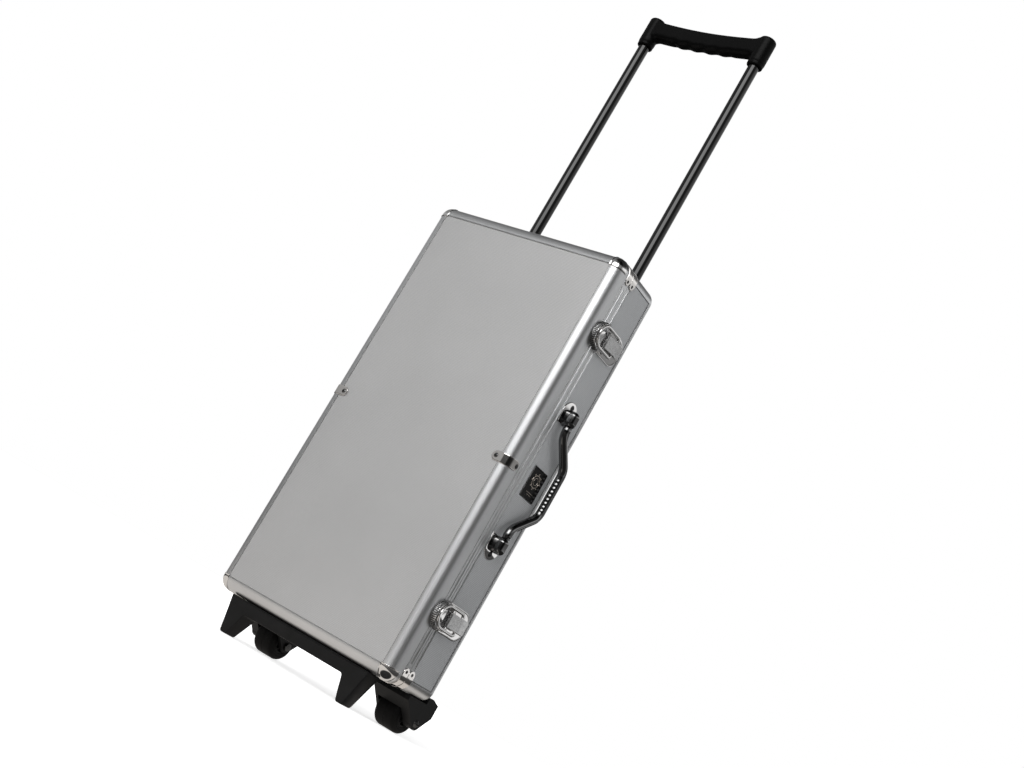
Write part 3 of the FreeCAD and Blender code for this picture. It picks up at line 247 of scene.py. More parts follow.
def lathe(profile, centre, axis, steps=48, start=0.0, turn=360.0):
    """Turn (radius, along) points about an axis through centre."""
    axis = Vector(axis).normalized()
    side = axis.orthogonal().normalized()
    if abs(axis.x) > 0.9:
        side = Vector((0, 1, 0))
    other = axis.cross(side)
    rows = []
    whole = turn >= 359.9
    for i in range(steps if whole else steps + 1):
        angle = math.radians(start + turn * i / steps)
        ray = side * math.cos(angle) + other * math.sin(angle)
        rows.append([Vector(centre) + ray * r + axis * h for r, h in profile])
    return Shape().rows([[tuple(p) for p in row] for row in rows], loop=whole)


def rod_profile(radius, start, end, soft, rise=None):
    """Solid pin: its ends are bevelled by soft across and rise along (the same when left out)."""
    rise = rise or soft
    return [(0.02, start), (radius - soft, start), (radius, start + rise),
            (radius, end - rise), (radius - soft, end), (0.02, end)]


def tube_profile(bore, radius, start, end):
    """Tube wall, bevelled at the lower end."""
    return [(bore, start), (radius - 0.3, start), (radius, start + 0.3), (radius, end),
            (bore, end), (bore, start)]


def even_profile(half):
    """A closed profile that mirrors the given half about its middle."""
    return half + [(r, -h) for r, h in reversed(half)] + half[:1]


def screw_head(centre, normal, radius, height, slot_half=0.0, steps=40, rings=9):
    """A domed head with a cross recess pressed into it."""
    normal = Vector(normal).normalized()
    side = Vector((0, 0, 1)) if abs(normal.z) < 0.9 else Vector((1, 0, 0))
    other = normal.cross(side)
    rows = []
    for ring in range(rings + 1):
        r = radius * ring / rings
        row = []
        for i in range(steps):
            angle = 2 * math.pi * i / steps
            a = r * math.cos(angle)
            b = r * math.sin(angle)
            h = height * (1 - (r / radius) ** 2.6)
            arm = radius * 0.62
            if slot_half and min(abs(a), abs(b)) < slot_half and max(abs(a), abs(b)) < arm:
                h -= height * 0.75
            row.append(tuple(Vector(centre) + side * a + other * b + normal * h))
        rows.append(row)
    return Shape().rows(rows, ring=True)


# ---------------------------------------------------------------- materials

class Nodes:
    """A short way to write a node material."""

    def __init__(self, name):
        self.material = bpy.data.materials.new(name)
        self.material.use_nodes = True
        self.tree = self.material.node_tree
        self.shader = self.tree.nodes["Principled BSDF"]
        self.place = self.make("ShaderNodeTexCoord").outputs["Object"]

    def make(self, kind, inputs=None, **settings):
        node = self.tree.nodes.new(kind)
        for key, value in settings.items():
            setattr(node, key, value)
        for key, value in (inputs or {}).items():
            self.put(node.inputs[key], value)
        return node

    def put(self, socket, value):
        if isinstance(value, bpy.types.NodeSocket):
            self.tree.links.new(value, socket)
        else:
            socket.default_value = value

    def set(self, **values):
        for key, value in values.items():
            self.put(self.shader.inputs[key.replace("_", " ")], value)

    def math(self, operation, a, b=0.0, c=0.0):
        node = self.make("ShaderNodeMath", {0: a, 1: b, 2: c}, operation=operation)
        return node.outputs[0]

    def stretched(self, scale):
        node = self.make("ShaderNodeMapping", {"Vector": self.place, "Scale": scale})
        return node.outputs["Vector"]

    def noise(self, scale, detail=3.0, rough=0.55, vector=None):
        inputs = {"Scale": scale, "Detail": detail, "Roughness": rough}
        inputs["Vector"] = vector or self.place
        return self.make("ShaderNodeTexNoise", inputs).outputs["Fac"]

    def spread(self, value, low, high, from_low=0.3, from_high=0.7):
        node = self.make(
            "ShaderNodeMapRange",
            {"Value": value, "From Min": from_low, "From Max": from_high,
             "To Min": low, "To Max": high},
        )
        return node.outputs["Result"]

    def mix(self, factor, one, two):
        node = self.make("ShaderNodeMix", data_type="RGBA")
        self.put(node.inputs[0], factor)
        self.put(node.inputs[6], one)
        self.put(node.inputs[7], two)
        return node.outputs[2]

    def bump(self, height, strength, distance, normal=None):
        inputs = {"Height": height, "Strength": strength, "Distance": distance}
        if normal is not None:
            inputs["Normal"] = normal
        return self.make("ShaderNodeBump", inputs).outputs["Normal"]

    def edge_wear(self, low=0.52, high=0.62):
        point = self.make("ShaderNodeNewGeometry").outputs["Pointiness"]
        return self.spread(point, 0.0, 1.0, low, high)


def grey(level, warm=0.0):
    """A grey colour, a little redder when warm is above zero."""
    return (level * (1 + warm), level, level * (1 - warm), 1.0)


def laminate(name, level, axes, warm=0.0):
    """Embossed metal-look sheet: a fine diagonal grid of raised lozenges on the given axes."""
    n = Nodes(name)
    parts = n.make("ShaderNodeSeparateXYZ", {"Vector": n.place}).outputs
    a = parts[axes[0]]
    b = parts[axes[1]]
    lozenge_pitch = 0.0036
    turns = 2 * math.pi / lozenge_pitch
    one = n.math("SINE", n.math("MULTIPLY", n.math("ADD", a, b), turns))
    two = n.math("SINE", n.math("MULTIPLY", n.math("SUBTRACT", a, b), turns))
    grid = n.math("MULTIPLY", one, two)
    lozenge = n.math("MULTIPLY_ADD", grid, 0.5, 0.5)
    speckle = n.noise(650.0, 3.0, 0.7)
    cloud = n.noise(9.0, 2.0)
    shade = n.math("MULTIPLY_ADD", lozenge, 0.45, n.math("MULTIPLY", speckle, 0.55))
    shade = n.math("ADD", shade, n.math("MULTIPLY", cloud, 0.2))
    dark = grey(level * 0.80, warm)
    light = grey(level * 1.20, warm)
    colour = n.mix(n.spread(shade, 0.0, 1.0, 0.3, 0.9), dark, light)
    n.set(Base_Color=colour, Metallic=0.45, Roughness=n.spread(speckle, 0.5, 0.62))
    height = n.math("ADD", n.math("MULTIPLY", lozenge, 0.8), n.math("MULTIPLY", speckle, 0.4))
    n.set(Normal=n.bump(height, 0.5, 0.0003))
    return n.material


def anodised(name, along, level=0.74):
    """Satin extruded aluminium with faint draw lines along its length."""
    n = Nodes(name)
    scale = [2600.0, 2600.0, 2600.0]
    scale["XYZ".index(along)] = 4.0
    lines = n.noise(1.0, 2.0, 0.5, n.stretched(scale))
    cloud = n.noise(14.0, 3.0)
    fine = n.noise(3000.0, 1.0)
    blend = n.math("MULTIPLY_ADD", lines, 0.5, n.math("MULTIPLY", cloud, 0.5))
    share = n.spread(blend, 0.0, 1.0, 0.35, 0.65)
    colour = n.mix(share, grey(level * 0.93, -0.01), grey(level * 1.05, -0.01))
    rough = n.math("ADD", n.spread(lines, 0.33, 0.39), n.math("MULTIPLY", fine, 0.04))
    n.set(Base_Color=colour, Metallic=1.0, Roughness=rough)
    n.set(Normal=n.bump(lines, 0.03, 0.00002))
    return n.material


def plated(name, level=0.86, rough=0.06, warm=0.0):
    """Chrome plating over a casting that is not quite even, duller where handled."""
    n = Nodes(name)
    waves = n.noise(90.0, 2.0)
    smears = n.noise(260.0, 4.0, 0.7)
    colour = n.mix(n.spread(smears, 0.0, 1.0), grey(level * 0.94, warm), grey(level, warm))
    n.set(Base_Color=colour, Metallic=1.0, Roughness=n.spread(smears, rough * 0.8, rough * 1.4))
    n.set(Normal=n.bump(waves, 0.10, 0.0006))
    return n.material


def plastic(name, level, rough, grain, depth, coat=0.0, worn=0.01, shine=0.15):
    """Moulded black plastic: fine spark grain, lighter on handled edges."""
    n = Nodes(name)
    fine = n.noise(grain, 3.0, 0.6)
    cloud = n.noise(22.0, 3.0)
    base = n.mix(n.spread(cloud, 0.0, 1.0), grey(level * 0.8), grey(level * 1.3))
    edge = n.math("MULTIPLY", n.edge_wear(), n.spread(cloud, 0.3, 1.0))
    colour = n.mix(n.math("MULTIPLY", edge, worn * 6), base, grey(level * 3.0 + worn * 0.2))
    n.set(Base_Color=colour, Roughness=n.spread(fine, rough * 0.85, rough * 1.15))
    n.set(Coat_Weight=coat, Coat_Roughness=0.08, Specular_IOR_Level=shine)
    n.set(Normal=n.bump(fine, 0.25, depth))
    return n.material


def gloss_tube(name):
    """Black enamelled tube with faint long polishing lines."""
    n = Nodes(name)
    lines = n.noise(1.0, 2.0, 0.5, n.stretched([900.0, 900.0, 5.0]))
    dust = n.noise(700.0, 4.0, 0.7)
    colour = n.mix(n.spread(dust, 0.0, 1.0, 0.62, 0.8), grey(0.001), grey(0.004))
    n.set(Base_Color=colour, Roughness=n.spread(lines, 0.05, 0.08), Specular_IOR_Level=0.45)
    n.set(Normal=n.bump(lines, 0.01, 0.00001))
    return n.material


def rubber(name):
    """Dull black tyre rubber with a fine grain."""
    n = Nodes(name)
    fine = n.noise(900.0, 4.0, 0.7)
    cloud = n.noise(60.0, 3.0)
    colour = n.mix(n.spread(cloud, 0.0, 1.0), grey(0.002), grey(0.005, 0.03))
    n.set(Base_Color=colour, Roughness=n.spread(fine, 0.5, 0.72), Specular_IOR_Level=0.12)
    n.set(Normal=n.bump(fine, 0.3, 0.0001))
    return n.material


def flock(name):
    """Short black flock on the moulded tray."""
    n = Nodes(name)
    fibres = n.noise(2600.0, 3.0, 0.8)
    cloud = n.noise(30.0, 3.0)
    colour = n.mix(n.spread(cloud, 0.0, 1.0), grey(0.012), grey(0.03))
    n.set(Base_Color=colour, Roughness=0.95, Sheen_Weight=0.8, Sheen_Roughness=0.35)
    n.set(Normal=n.bump(fibres, 0.6, 0.00025))
    return n.material


def foam(name):
    """Open-cell charcoal foam."""
    n = Nodes(name)
    cells = n.make(
        "ShaderNodeTexVoronoi", {"Vector": n.place, "Scale": 900.0}, feature="DISTANCE_TO_EDGE"
    ).outputs["Distance"]
    cloud = n.noise(40.0, 3.0)
    base = n.mix(n.spread(cloud, 0.0, 1.0), grey(0.035), grey(0.06))
    colour = n.mix(n.spread(cells, 0.0, 1.0, 0.0, 0.3), base, grey(0.015))
    n.set(Base_Color=colour, Roughness=0.92, Sheen_Weight=0.3)
    n.set(Normal=n.bump(cells, 0.5, 0.0003))
    return n.material


LAMINATE_FRONT = laminate("laminate_front", 0.465, (0, 2), 0.002)
LAMINATE_SIDE = laminate("laminate_side", 0.435, (1, 2), -0.02)
LAMINATE_END = laminate("laminate_end", 0.46, (0, 1))
RAIL_Z = anodised("rail_along_z", "Z")
RAIL_X = anodised("rail_along_x", "X")
BEAD_METAL = plated("bead_metal", 0.62, 0.34)
# Near-black strips in the gaps round the boards and under the serrated lines: painted shade.
PAINTED_GAP_SHADE = plastic("painted_gap_shade", 0.05, 0.6, 900.0, 0.00003)
CHROME = plated("chrome", 0.84, 0.035, 0.01)
# Chrome at a fraction of its usual brightness: painted dark reflection on the bow and the pivot
# blocks.
BOW_CHROME_PAINTED_DARK = plated("bow_chrome_painted_dark", 0.20, 0.07)
LEVER_METAL = plated("lever_metal", 0.66, 0.24)
CLIP_CHROME = plated("clip_chrome", 0.80, 0.05, 0.03)
STEEL = plated("steel", 0.55, 0.27)
DARK_STEEL = plated("dark_steel", 0.16, 0.3)
TUBE = gloss_tube("tube_enamel")
PLASTIC = plastic("carriage_plastic", 0.007, 0.46, 1400.0, 0.00012)
GRIP_PLASTIC = plastic("grip_plastic", 0.002, 0.40, 2200.0, 0.00003, worn=0.004, shine=0.09)
BUTTON_PLASTIC = plastic("button_plastic", 0.022, 0.4, 1800.0, 0.00006)
TYRE = rubber("tyre_rubber")
FLOCK = flock("tray_flock")
FOAM = foam("pad_foam")
PLATE_BLACK = plastic("plate_enamel", 0.003, 0.22, 900.0, 0.00004, coat=0.15)
BADGE_LINES = plated("badge_lines", 0.42, 0.25, 0.12)
# Steel kept almost black: painted shade on the wheel bolts and nuts.
AXLE_STEEL_PAINTED_SHADE = plated("axle_steel_painted_shade", 0.09, 0.3)


# ---------------------------------------------------------------- case shell

RAIL_SKIN = 2.0
ARC_STEPS = 18
RIDGE = [(1.15 * math.cos(math.pi * i / 8), 1.0 * math.sin(math.pi * i / 8)) for i in range(9)]
RIDGE_CLEAR = 30.0


def rail_profile(leg):
    """Rounded edge: u runs in from the side, v back from the face."""
    points = []
    for i in range(ARC_STEPS + 1):
        angle = math.pi / 2 * i / ARC_STEPS
        points.append((ROUND * (1 - math.sin(angle)), ROUND * (1 - math.cos(angle))))
    inner = ROUND - RAIL_SKIN
    points += [(0, leg - 0.4), (0.4, leg), (RAIL_SKIN, leg), (RAIL_SKIN, ROUND)]
    for i in range(1, 6):
        angle = math.pi / 2 * (1 - i / 5)
        points.append((ROUND - inner * math.sin(angle), ROUND - inner * math.cos(angle)))
    return points


def long_rail(profile, face, way, side):
    """Rail along one long side; way says which way the side runs back from the face."""
    rows = []
    for z in (ROUND, TOP - ROUND):
        rows.append([(side * (HALF - u), face + way * v, z) for u, v in profile])
    return Shape().rows(rows, ring=True, caps=True)


def short_rail(profile, face, way, end):
    """Rail along the top or the bottom end."""
    rows = []
    for x in (ROUND - HALF, HALF - ROUND):
        rows.append([(x, face + way * v, TOP - u if end > 0 else u) for u, v in profile])
    return Shape().rows(rows, ring=True, caps=True)


def corner_post(profile, face, way, side, end):
    """The rail's profile turned a quarter about the corner's upright axis."""
    centre_x = side * (HALF - ROUND)
    centre_z = TOP - ROUND if end > 0 else ROUND
    rows = []
    for i in range(ARC_STEPS + 1):
        angle = math.pi / 2 * i / ARC_STEPS
        x = side * math.cos(angle)
        z = end * math.sin(angle)
        rows.append([
            (centre_x + (ROUND - u) * x, face + way * v, centre_z + (ROUND - u) * z)
            for u, v in profile
        ])
    return Shape().rows(rows, ring=True, caps=True)


def shell(half, face, way, leg, body):
    """Rails and corner posts of the lid or of the base."""
    profile = rail_profile(leg)
    low, high = span(f"{half}_corners")
    post = rail_profile(high[1] - low[1])
    long_rails = Shape()
    short_rails = Shape()
    posts = Shape()
    for side in (1, -1):
        long_rails.join(long_rail(profile, face, way, side))
        short_rails.join(short_rail(profile, face, way, side))
        for end in (1, -1):
            posts.join(corner_post(post, face, way, side, end))
    piece(f"{half}_rails_long", long_rails, RAIL_Z, body, [f"{half}_long_rails"])
    piece(f"{half}_rails_short", short_rails, RAIL_X, body, [f"{half}_short_rails"])
    piece(f"{half}_corner_posts", posts, RAIL_X, body, [f"{half}_corners"])


def bead(start, along, out, across, length, width=1.0, height=0.4, pitch=2.4):
    """A serrated line, as rolled along the edges of the rails: teeth over a dark strip painted as the
    shade in the gap beneath them.
    """
    start = np.array(start, float)
    along = np.array(along, float)
    out = np.array(out, float)
    across = np.array(across, float)
    count = int(length / pitch)
    pitch = length / count
    section = [(-0.5, 0.0), (-0.36, 0.75), (0.0, 1.0), (0.36, 0.75), (0.5, 0.0)]
    teeth = Shape()
    rows = []
    for i in range(count):
        for share, lift in ((0.0, -0.4), (0.12, 1.0), (0.5, 1.0), (0.62, -0.4)):
            spot = start + along * (i + share) * pitch
            rows.append([spot + across * a * width + out * (height * (b + 0.3) * lift)
                         for a, b in section])
    teeth.rows(rows)
    # Painted shade: a dark strip under the teeth.
    gap_shade = []
    for share in (0.0, 1.0):
        spot = start + along * length * share
        gap_shade.append([spot + across * a + out * b
                     for a, b in ((0.3, 0.0), (0.35, 0.06), (0.75, 0.06), (0.8, 0.0))])
    return teeth.join(Shape().rows(gap_shade, slot=1))


def gap_shade_line(start, end, out, across, half=0.45):
    """A narrow dark strip where a board meets the rail round it: painted shade for the shadow in the
    gap.
    """
    rows = []
    for spot in (np.array(start, float), np.array(end, float)):
        rows.append([spot + np.array(across, float) * a * half + np.array(out, float) * b
                     for a, b in ((-1, 0.0), (-0.9, 0.07), (0.9, 0.07), (1, 0.0))])
    return Shape().rows(rows, slot=1)


def face_beads(face, out_y):
    """Serrated lines round one large panel, where the rails hold it."""
    run_z = TOP - 2 * ROUND
    run_x = 2 * (HALF - ROUND)
    edge = HALF - ROUND
    shape = Shape()
    for side in (1, -1):
        start = (side * (edge - 0.6), face, ROUND)
        shape.join(bead(start, (0, 0, 1), (0, out_y, 0), (-side, 0, 0), run_z))
        z = TOP - ROUND - 0.6 if side > 0 else ROUND + 0.6
        shape.join(bead((-edge, face, z), (1, 0, 0), (0, out_y, 0), (0, 0, -side), run_x))
    return shape


def side_beads(y, ends=True):
    """Serrated lines along both sides, and along the two ends of the case."""
    shape = Shape()
    run_z = TOP - 2 * ROUND
    run_x = 2 * (HALF - ROUND)
    for side in (1, -1):
        shape.join(bead((side * HALF, y, ROUND), (0, 0, 1), (side, 0, 0), (0, 1, 0), run_z))
        if ends:
            z = TOP if side > 0 else 0.0
            shape.join(bead((ROUND - HALF, y, z), (1, 0, 0), (0, 0, side), (0, 1, 0), run_x))
    return shape


def side_board_gap_shade():
    """Dark strips round the side boards of the base: painted shade in the gaps."""
    low, high = span("base_side_walls")
    inset = 0.5
    y0 = low[1] + inset
    y1 = high[1] - inset
    z0 = low[2] + inset
    z1 = high[2] - inset
    x = high[0]
    shape = Shape()
    for start, end, across in (
        ((x, y0, z0), (x, y1, z0), (0, 0, 1)),
        ((x, y0, z1), (x, y1, z1), (0, 0, 1)),
        ((x, y1, z0), (x, y1, z1), (0, 1, 0)),
        ((x, y0, z0), (x, y0, z1), (0, 1, 0)),
    ):
        shape.join(gap_shade_line(start, end, (1, 0, 0), across))
    return both(shape)


def rounded_loop(inset, y):
    """Points round the outline of the case in the plane at y."""
    half = HALF - inset
    low = inset
    high = TOP - inset
    corner = max(ROUND - inset, 1.0)
    points = []
    corners = ((half, high, 0), (-half, high, 1), (-half, low, 2), (half, low, 3))
    for x, z, quarter in corners:
        cx = x - math.copysign(corner, x)
        cz = z - corner if z > MIDDLE else z + corner
        for i in range(9):
            angle = math.pi / 2 * (quarter + i / 8)
            points.append((cx + corner * math.cos(angle), y, cz + corner * math.sin(angle)))
    return points


def rim_piece(name, node, body, ridge_y):
    """Closing frame with softened edges; its ridge is a rounded bar along the right and top."""
    low, high = span(node)
    y0 = low[1]
    y1 = high[1]
    soft = 0.35
    inner = 10.5
    outline = [(0, y0 + soft), (0, y1 - soft), (soft, y1), (inner, y1), (inner, y0), (soft, y0)]
    shape = Shape().rows([rounded_loop(u, y) for u, y in outline], ring=True, loop=True)
    full = RIDGE_CLEAR + 1.5
    along_side = ((RIDGE_CLEAR, 0.0), (full, 1.0), (TOP - full, 1.0), (TOP - RIDGE_CLEAR, 0.0))
    shape.rows([[(HALF + b * lift - 0.02, ridge_y + a, z) for a, b in RIDGE]
                for z, lift in along_side])
    ends = HALF - RIDGE_CLEAR
    along_top = ((-ends, 0.0), (full - HALF, 1.0), (HALF - full, 1.0), (ends, 0.0))
    shape.rows([[(x, ridge_y + a, TOP + b * lift - 0.02) for a, b in RIDGE]
                for x, lift in along_top])
    piece(name, shape, RAIL_Z, body, [node], sharp=35)


def panel_piece(name, node, body, material):
    """A laminated board: its box with every edge softened."""
    low, high = span(node)
    shape = rounded_box(low, high, 0.35, 2)
    piece(name, shape, material, body, [node], sharp=50)


def side_wall_piece():
    """The laminated boards along both sides of the base."""
    low, high = span("base_side_walls")
    inner = high[0] - 4.0
    right = rounded_box((inner, low[1], low[2]), high, 0.35, 2)
    piece("case_side_boards", both(right), LAMINATE_SIDE, "case", ["base_side_walls"],
          sharp=50)


# ---------------------------------------------------------------- wrapped fittings

def edge_height(distance, skin, soft=0.7):
    """Height of a plate whose edge is rounded over, at a distance in from its edge."""
    if distance <= 0:
        return -0.05
    t = min(distance / soft, 1.0)
    return skin * math.sqrt(max(0.0, 1 - (1 - t) ** 2))


def corner_cap(side, face, way, end, reach, skin):
    """Chromed ball corner: a cube grid pulled onto the rounded corner, then raised."""
    near = [ROUND * (1 - math.tan(math.pi / 4 * (1 - i / 9))) for i in range(10)]
    rest = [ROUND + 0.8] if reach > ROUND + 2 else []
    tail = [reach - t for t in (1.7, 1.4, 1.0, 0.7, 0.45, 0.2, 0.05, 0.0)]
    line = near + rest + tail
    shape = Shape()
    for axis in range(3):
        a, b = [k for k in range(3) if k != axis]
        rows = []
        for va in line:
            row = []
            for vb in line:
                q = np.zeros(3)
                q[a] = va
                q[b] = vb
                inner = np.maximum(q, ROUND)
                out = inner - q
                out = out / max(np.linalg.norm(out), 1e-9)
                inward = reach - max(va, vb)
                lip = 0.5 * math.sin(math.pi * min(max(inward / 1.7, 0.0), 1.0))
                height = edge_height(inward, skin) + lip
                p = inner - out * (ROUND + height)
                x = side * (HALF - p[0])
                y = face + way * p[1]
                z = TOP - p[2] if end > 0 else p[2]
                row.append((x, y, z))
            rows.append(row)
        shape.rows(rows)
    return shape


def lid_caps():
    skin = min(span("lid_corner_caps")[1][0] - HALF, 0.4)
    shape = Shape()
    for side in (1, -1):
        for end in (1, -1):
            shape.join(corner_cap(side, FRONT, 1, end, CAP_REACH, skin))
    piece("lid_ball_corners", shape, CHROME, "lid", ["lid_corner_caps"],
          sharp=60)


def wrap_point(s, corner):
    """A point and normal s along a face, round a corner and down the next face, where the
    corner starts at s = 0: returned as (in from second face, in from first face)."""
    arc = corner * math.pi / 2
    if s < 0:
        return (corner - s, 0.0), (0.0, -1.0)
    if s < arc:
        angle = s / corner
        return (
            (corner - corner * math.sin(angle), corner - corner * math.cos(angle)),
            (-math.sin(angle), -math.cos(angle)),
        )
    return (0.0, corner + s - arc), (-1.0, 0.0)


def wrapped_strip(start, stop, half_width, place, skin, round_start=True, round_stop=True):
    """A strip bent round a corner, its ends rounded; place turns (u, v, t) into a point."""
    stations = list(np.linspace(start, stop, 46))
    fine = [0.05, 0.2, 0.45, 0.8, 1.3, 2.0]
    stations = sorted(set(stations + [start + f for f in fine] + [stop - f for f in fine]))
    shares = [-1, -0.985, -0.95, -0.9, -0.8, -0.55, -0.25, 0, 0.25, 0.55, 0.8, 0.9, 0.95, 0.985, 1]
    rows = []
    for s in stations:
        width = half_width
        for ends, rounded in (((s - start), round_start), ((stop - s), round_stop)):
            if rounded and ends < half_width:
                width = min(width, math.sqrt(max(half_width**2 - (half_width - ends) ** 2, 0.0)))
        row = []
        for share in shares:
            t = share * max(width, 0.02)
            inside = min(width - abs(t), s - start, stop - s)
            height = edge_height(inside, skin, 0.6)
            (u, v), (nu, nv) = wrap_point(s, ROUND)
            row.append(place(u + nu * height, v + nv * height, t))
        rows.append(row)
    return Shape().rows(rows)


def straps():
    """Two chromed straps over the middle of the lid's long rails, with their screws."""
    low, high = span("edge_straps")
    skin = high[0] - HALF
    half_width = (high[2] - low[2]) / 2
    strap_end_x = 124.0
    front_end = HALF - strap_end_x - ROUND
    side_end = ROUND * math.pi / 2 + (high[1] - FRONT - ROUND)

    def place(u, v, t):
        return HALF - u, FRONT + v, MIDDLE + t

    strip = wrapped_strip(-front_end, side_end, half_width, place, skin)
    piece("lid_edge_straps", both(strip), CLIP_CHROME, "lid", ["edge_straps"],
          sharp=60)
    heads = Shape()
    for spot, normal in (
        ((HALF - 20.5, FRONT - skin, MIDDLE), (0, -1, 0)),
        ((HALF + skin, FRONT + 16.0, MIDDLE), (1, 0, 0)),
    ):
        heads.join(screw_head(spot, normal, 3.0, 1.2, 0.45))
    piece("lid_strap_screws", both(heads), DARK_STEEL, "lid", ["strap_screws"])


def clips(half, body):
    """Chromed tabs over the end corners beside the parting line, each with a riveted tail."""
    low, high = span(f"{half}_clips")
    skin = high[0] - HALF
    centre = (low[1] + high[1]) / 2
    half_width = (high[1] - low[1]) / 2
    rivet_y = middle(f"{half}_clip_rivets")[1]
    top_end = CLIP_REACH - ROUND
    side_end = ROUND * math.pi / 2 + top_end

    def place_top(u, v, t):
        return HALF - u, centre + t, TOP - v

    def place_bottom(u, v, t):
        return HALF - u, centre + t, v

    shape = Shape()
    heads = Shape()
    for place, z in ((place_top, TOP - 20.0), (place_bottom, 20.0)):
        shape.join(wrapped_strip(-top_end, side_end, half_width, place, skin, False, True))
        heads.join(screw_head((HALF + skin, rivet_y, z), (1, 0, 0), 2.1, 1.0, 0.5, 28, 7))
    piece(f"{half}_end_clips", both(shape), CLIP_CHROME, body, [f"{half}_clips"],
          sharp=60)
    piece(f"{half}_clip_studs", both(heads), DARK_STEEL, body, [f"{half}_clip_rivets"])


# ---------------------------------------------------------------- latches

def flat_plate(outline, x, skin, soft=0.5, rim=None):
    """A flat plate on the side: outline points (y, z), its outer edge rounded over."""
    outline = np.array(outline, float)
    centre = outline.mean(axis=0)
    steps = [(0.0, 0.0), (0.0, skin * 0.5), (soft * 0.3, skin * 0.86), (soft, skin)]
    if rim:
        steps += [(rim, skin), (rim + 0.5, skin - 0.35)]
    rows = []
    for inset, height in steps:
        out = outline - centre
        length = np.linalg.norm(out, axis=1, keepdims=True)
        ring = centre + out * (1 - inset / np.maximum(length, 1e-6))
        rows.append([(x + height, y, z) for y, z in ring])
    return Shape().rows(rows, ring=True, caps=True)


def arc_points(centre, radius, start, stop, steps):
    """Points along an arc, its ends given in degrees."""
    points = []
    for a in np.linspace(math.radians(start), math.radians(stop), steps):
        points.append((centre[0] + radius * math.cos(a), centre[1] + radius * math.sin(a)))
    return points


def spaced(outline, spacing):
    """A closed outline with points put in along its long edges."""
    dense = []
    for (ya, za), (yb, zb) in zip(outline, outline[1:] + outline[:1]):
        count = max(1, int(math.hypot(yb - ya, zb - za) / spacing))
        dense += [(ya + (yb - ya) * i / count, za + (zb - za) * i / count) for i in range(count)]
    return dense


def latch_plate(name, z):
    """Plate with a rolled edge, and the two ears that hold the lever's pin."""
    low, high = span(f"{name}_plate")
    corner = 14.0
    y0 = low[1]
    y1 = high[1]
    half = (high[2] - low[2]) / 2
    outline = [(y0, z - half), (y1 - corner, z - half)]
    outline += arc_points((y1 - corner, z - half + corner), corner, -90, 0, 9)[1:]
    outline += arc_points((y1 - corner, z + half - corner), corner, 0, 90, 9)
    outline += [(y0, z + half)]
    shape = flat_plate(spaced(outline, 4), low[0], 1.2, 0.6, 1.7)
    ear = 2.6
    hinge_x = low[0] + 4.2
    hinge_y = middle("latch_pins")[1]
    for way in (1, -1):
        section = [(low[0], hinge_y - ear), (hinge_x, hinge_y - ear)]
        section += arc_points((hinge_x, hinge_y), ear, -90, 90, 9)[1:-1]
        section += [(hinge_x, hinge_y + ear), (low[0], hinge_y + ear)]
        rows = [[(x, y, z + way * t) for x, y in section] for t in (9.3, 11.7)]
        shape.join(Shape().rows(rows, ring=True, caps=True))
    piece(f"{name}_base", shape, CHROME, "case", [f"{name}_plate"], sharp=35)


def latch_lever_piece(name, body, z):
    """Pressed lever: flat facets that meet in crisp bends, and a finger tab at its end."""
    low, high = span(f"{name}_lever")
    hinge_y = middle("latch_pins")[1]
    base_x = low[0]
    # place along the lever, underside, upper side, half width
    stations = [
        (low[1] + 0.0, base_x + 1.6, base_x + 3.6, 8.2),
        (low[1] + 0.35, base_x + 0.9, base_x + 4.5, 8.8),
        (low[1] + 1.2, base_x + 0.5, base_x + 5.4, 9.0),
        (hinge_y - 0.6, base_x + 0.3, base_x + 5.9, 9.0),
        (hinge_y + 0.2, base_x + 0.3, base_x + 6.15, 9.0),
        (8.4, base_x + 2.4, high[0] - 0.35, 9.0),
        (9.6, base_x + 3.0, high[0] - 0.05, 9.0),
        (10.8, base_x + 4.0, high[0] - 0.10, 9.0),
        (13.6, base_x + 5.6, high[0] - 0.55, 9.0),
        (21.5, base_x + 7.0, high[0] - 1.75, 9.0),
        (23.2, base_x + 7.4, high[0] - 2.0, 8.7),
        (24.3, base_x + 7.6, high[0] - 2.15, 8.0),
        (high[1] - 0.15, base_x + 7.9, high[0] - 2.4, 6.9),
    ]
    rows = []
    for y, x0, x1, half in stations:
        points = rounded_rect((x1 - x0) / 2, half, 0.7, 3)
        rows.append([((x0 + x1) / 2 + a, y, z + b) for a, b in points])
    shape = Shape().rows(rows, ring=True, caps=True)
    piece(f"{name}_handle", shape, LEVER_METAL, body, [f"{name}_lever"], sharp=14)


def bail_loop(name, body, z):
    """The loop is a bar of square section, bent round and closed under the lever."""
    low, high = span(f"{name}_bail")
    wire = 2.0
    x = (low[0] + high[0]) / 2
    half = (high[2] - low[2]) / 2 - wire
    y0 = low[1] + wire
    y1 = high[1] - wire
    bend = 5.0
    centre_line = arc_points((y0 + half, 0.0), half, 90, 270, 33)
    centre_line += [(y, -half) for y in np.linspace(y0 + half, y1 - bend, 9)[1:]]
    centre_line += arc_points((y1 - bend, -half + bend), bend, -90, 0, 9)[1:]
    centre_line += arc_points((y1 - bend, half - bend), bend, 0, 90, 9)
    centre_line += [(y, half) for y in np.linspace(y1 - bend, y0 + half, 9)[1:-1]]
    points = np.array(centre_line)
    section = rounded_rect(1.85, 1.85, 1.0, 3)
    rows = []
    for here, before, after in zip(points, np.roll(points, 1, 0), np.roll(points, -1, 0)):
        ahead = (after - before) / np.linalg.norm(after - before)
        rows.append([(x + a, here[0] + b * ahead[1], z + here[1] - b * ahead[0])
                     for a, b in section])
    shape = Shape().rows(rows, ring=True, loop=True)
    piece(f"{name}_loop", shape, CHROME, body, [f"{name}_bail"], sharp=50)


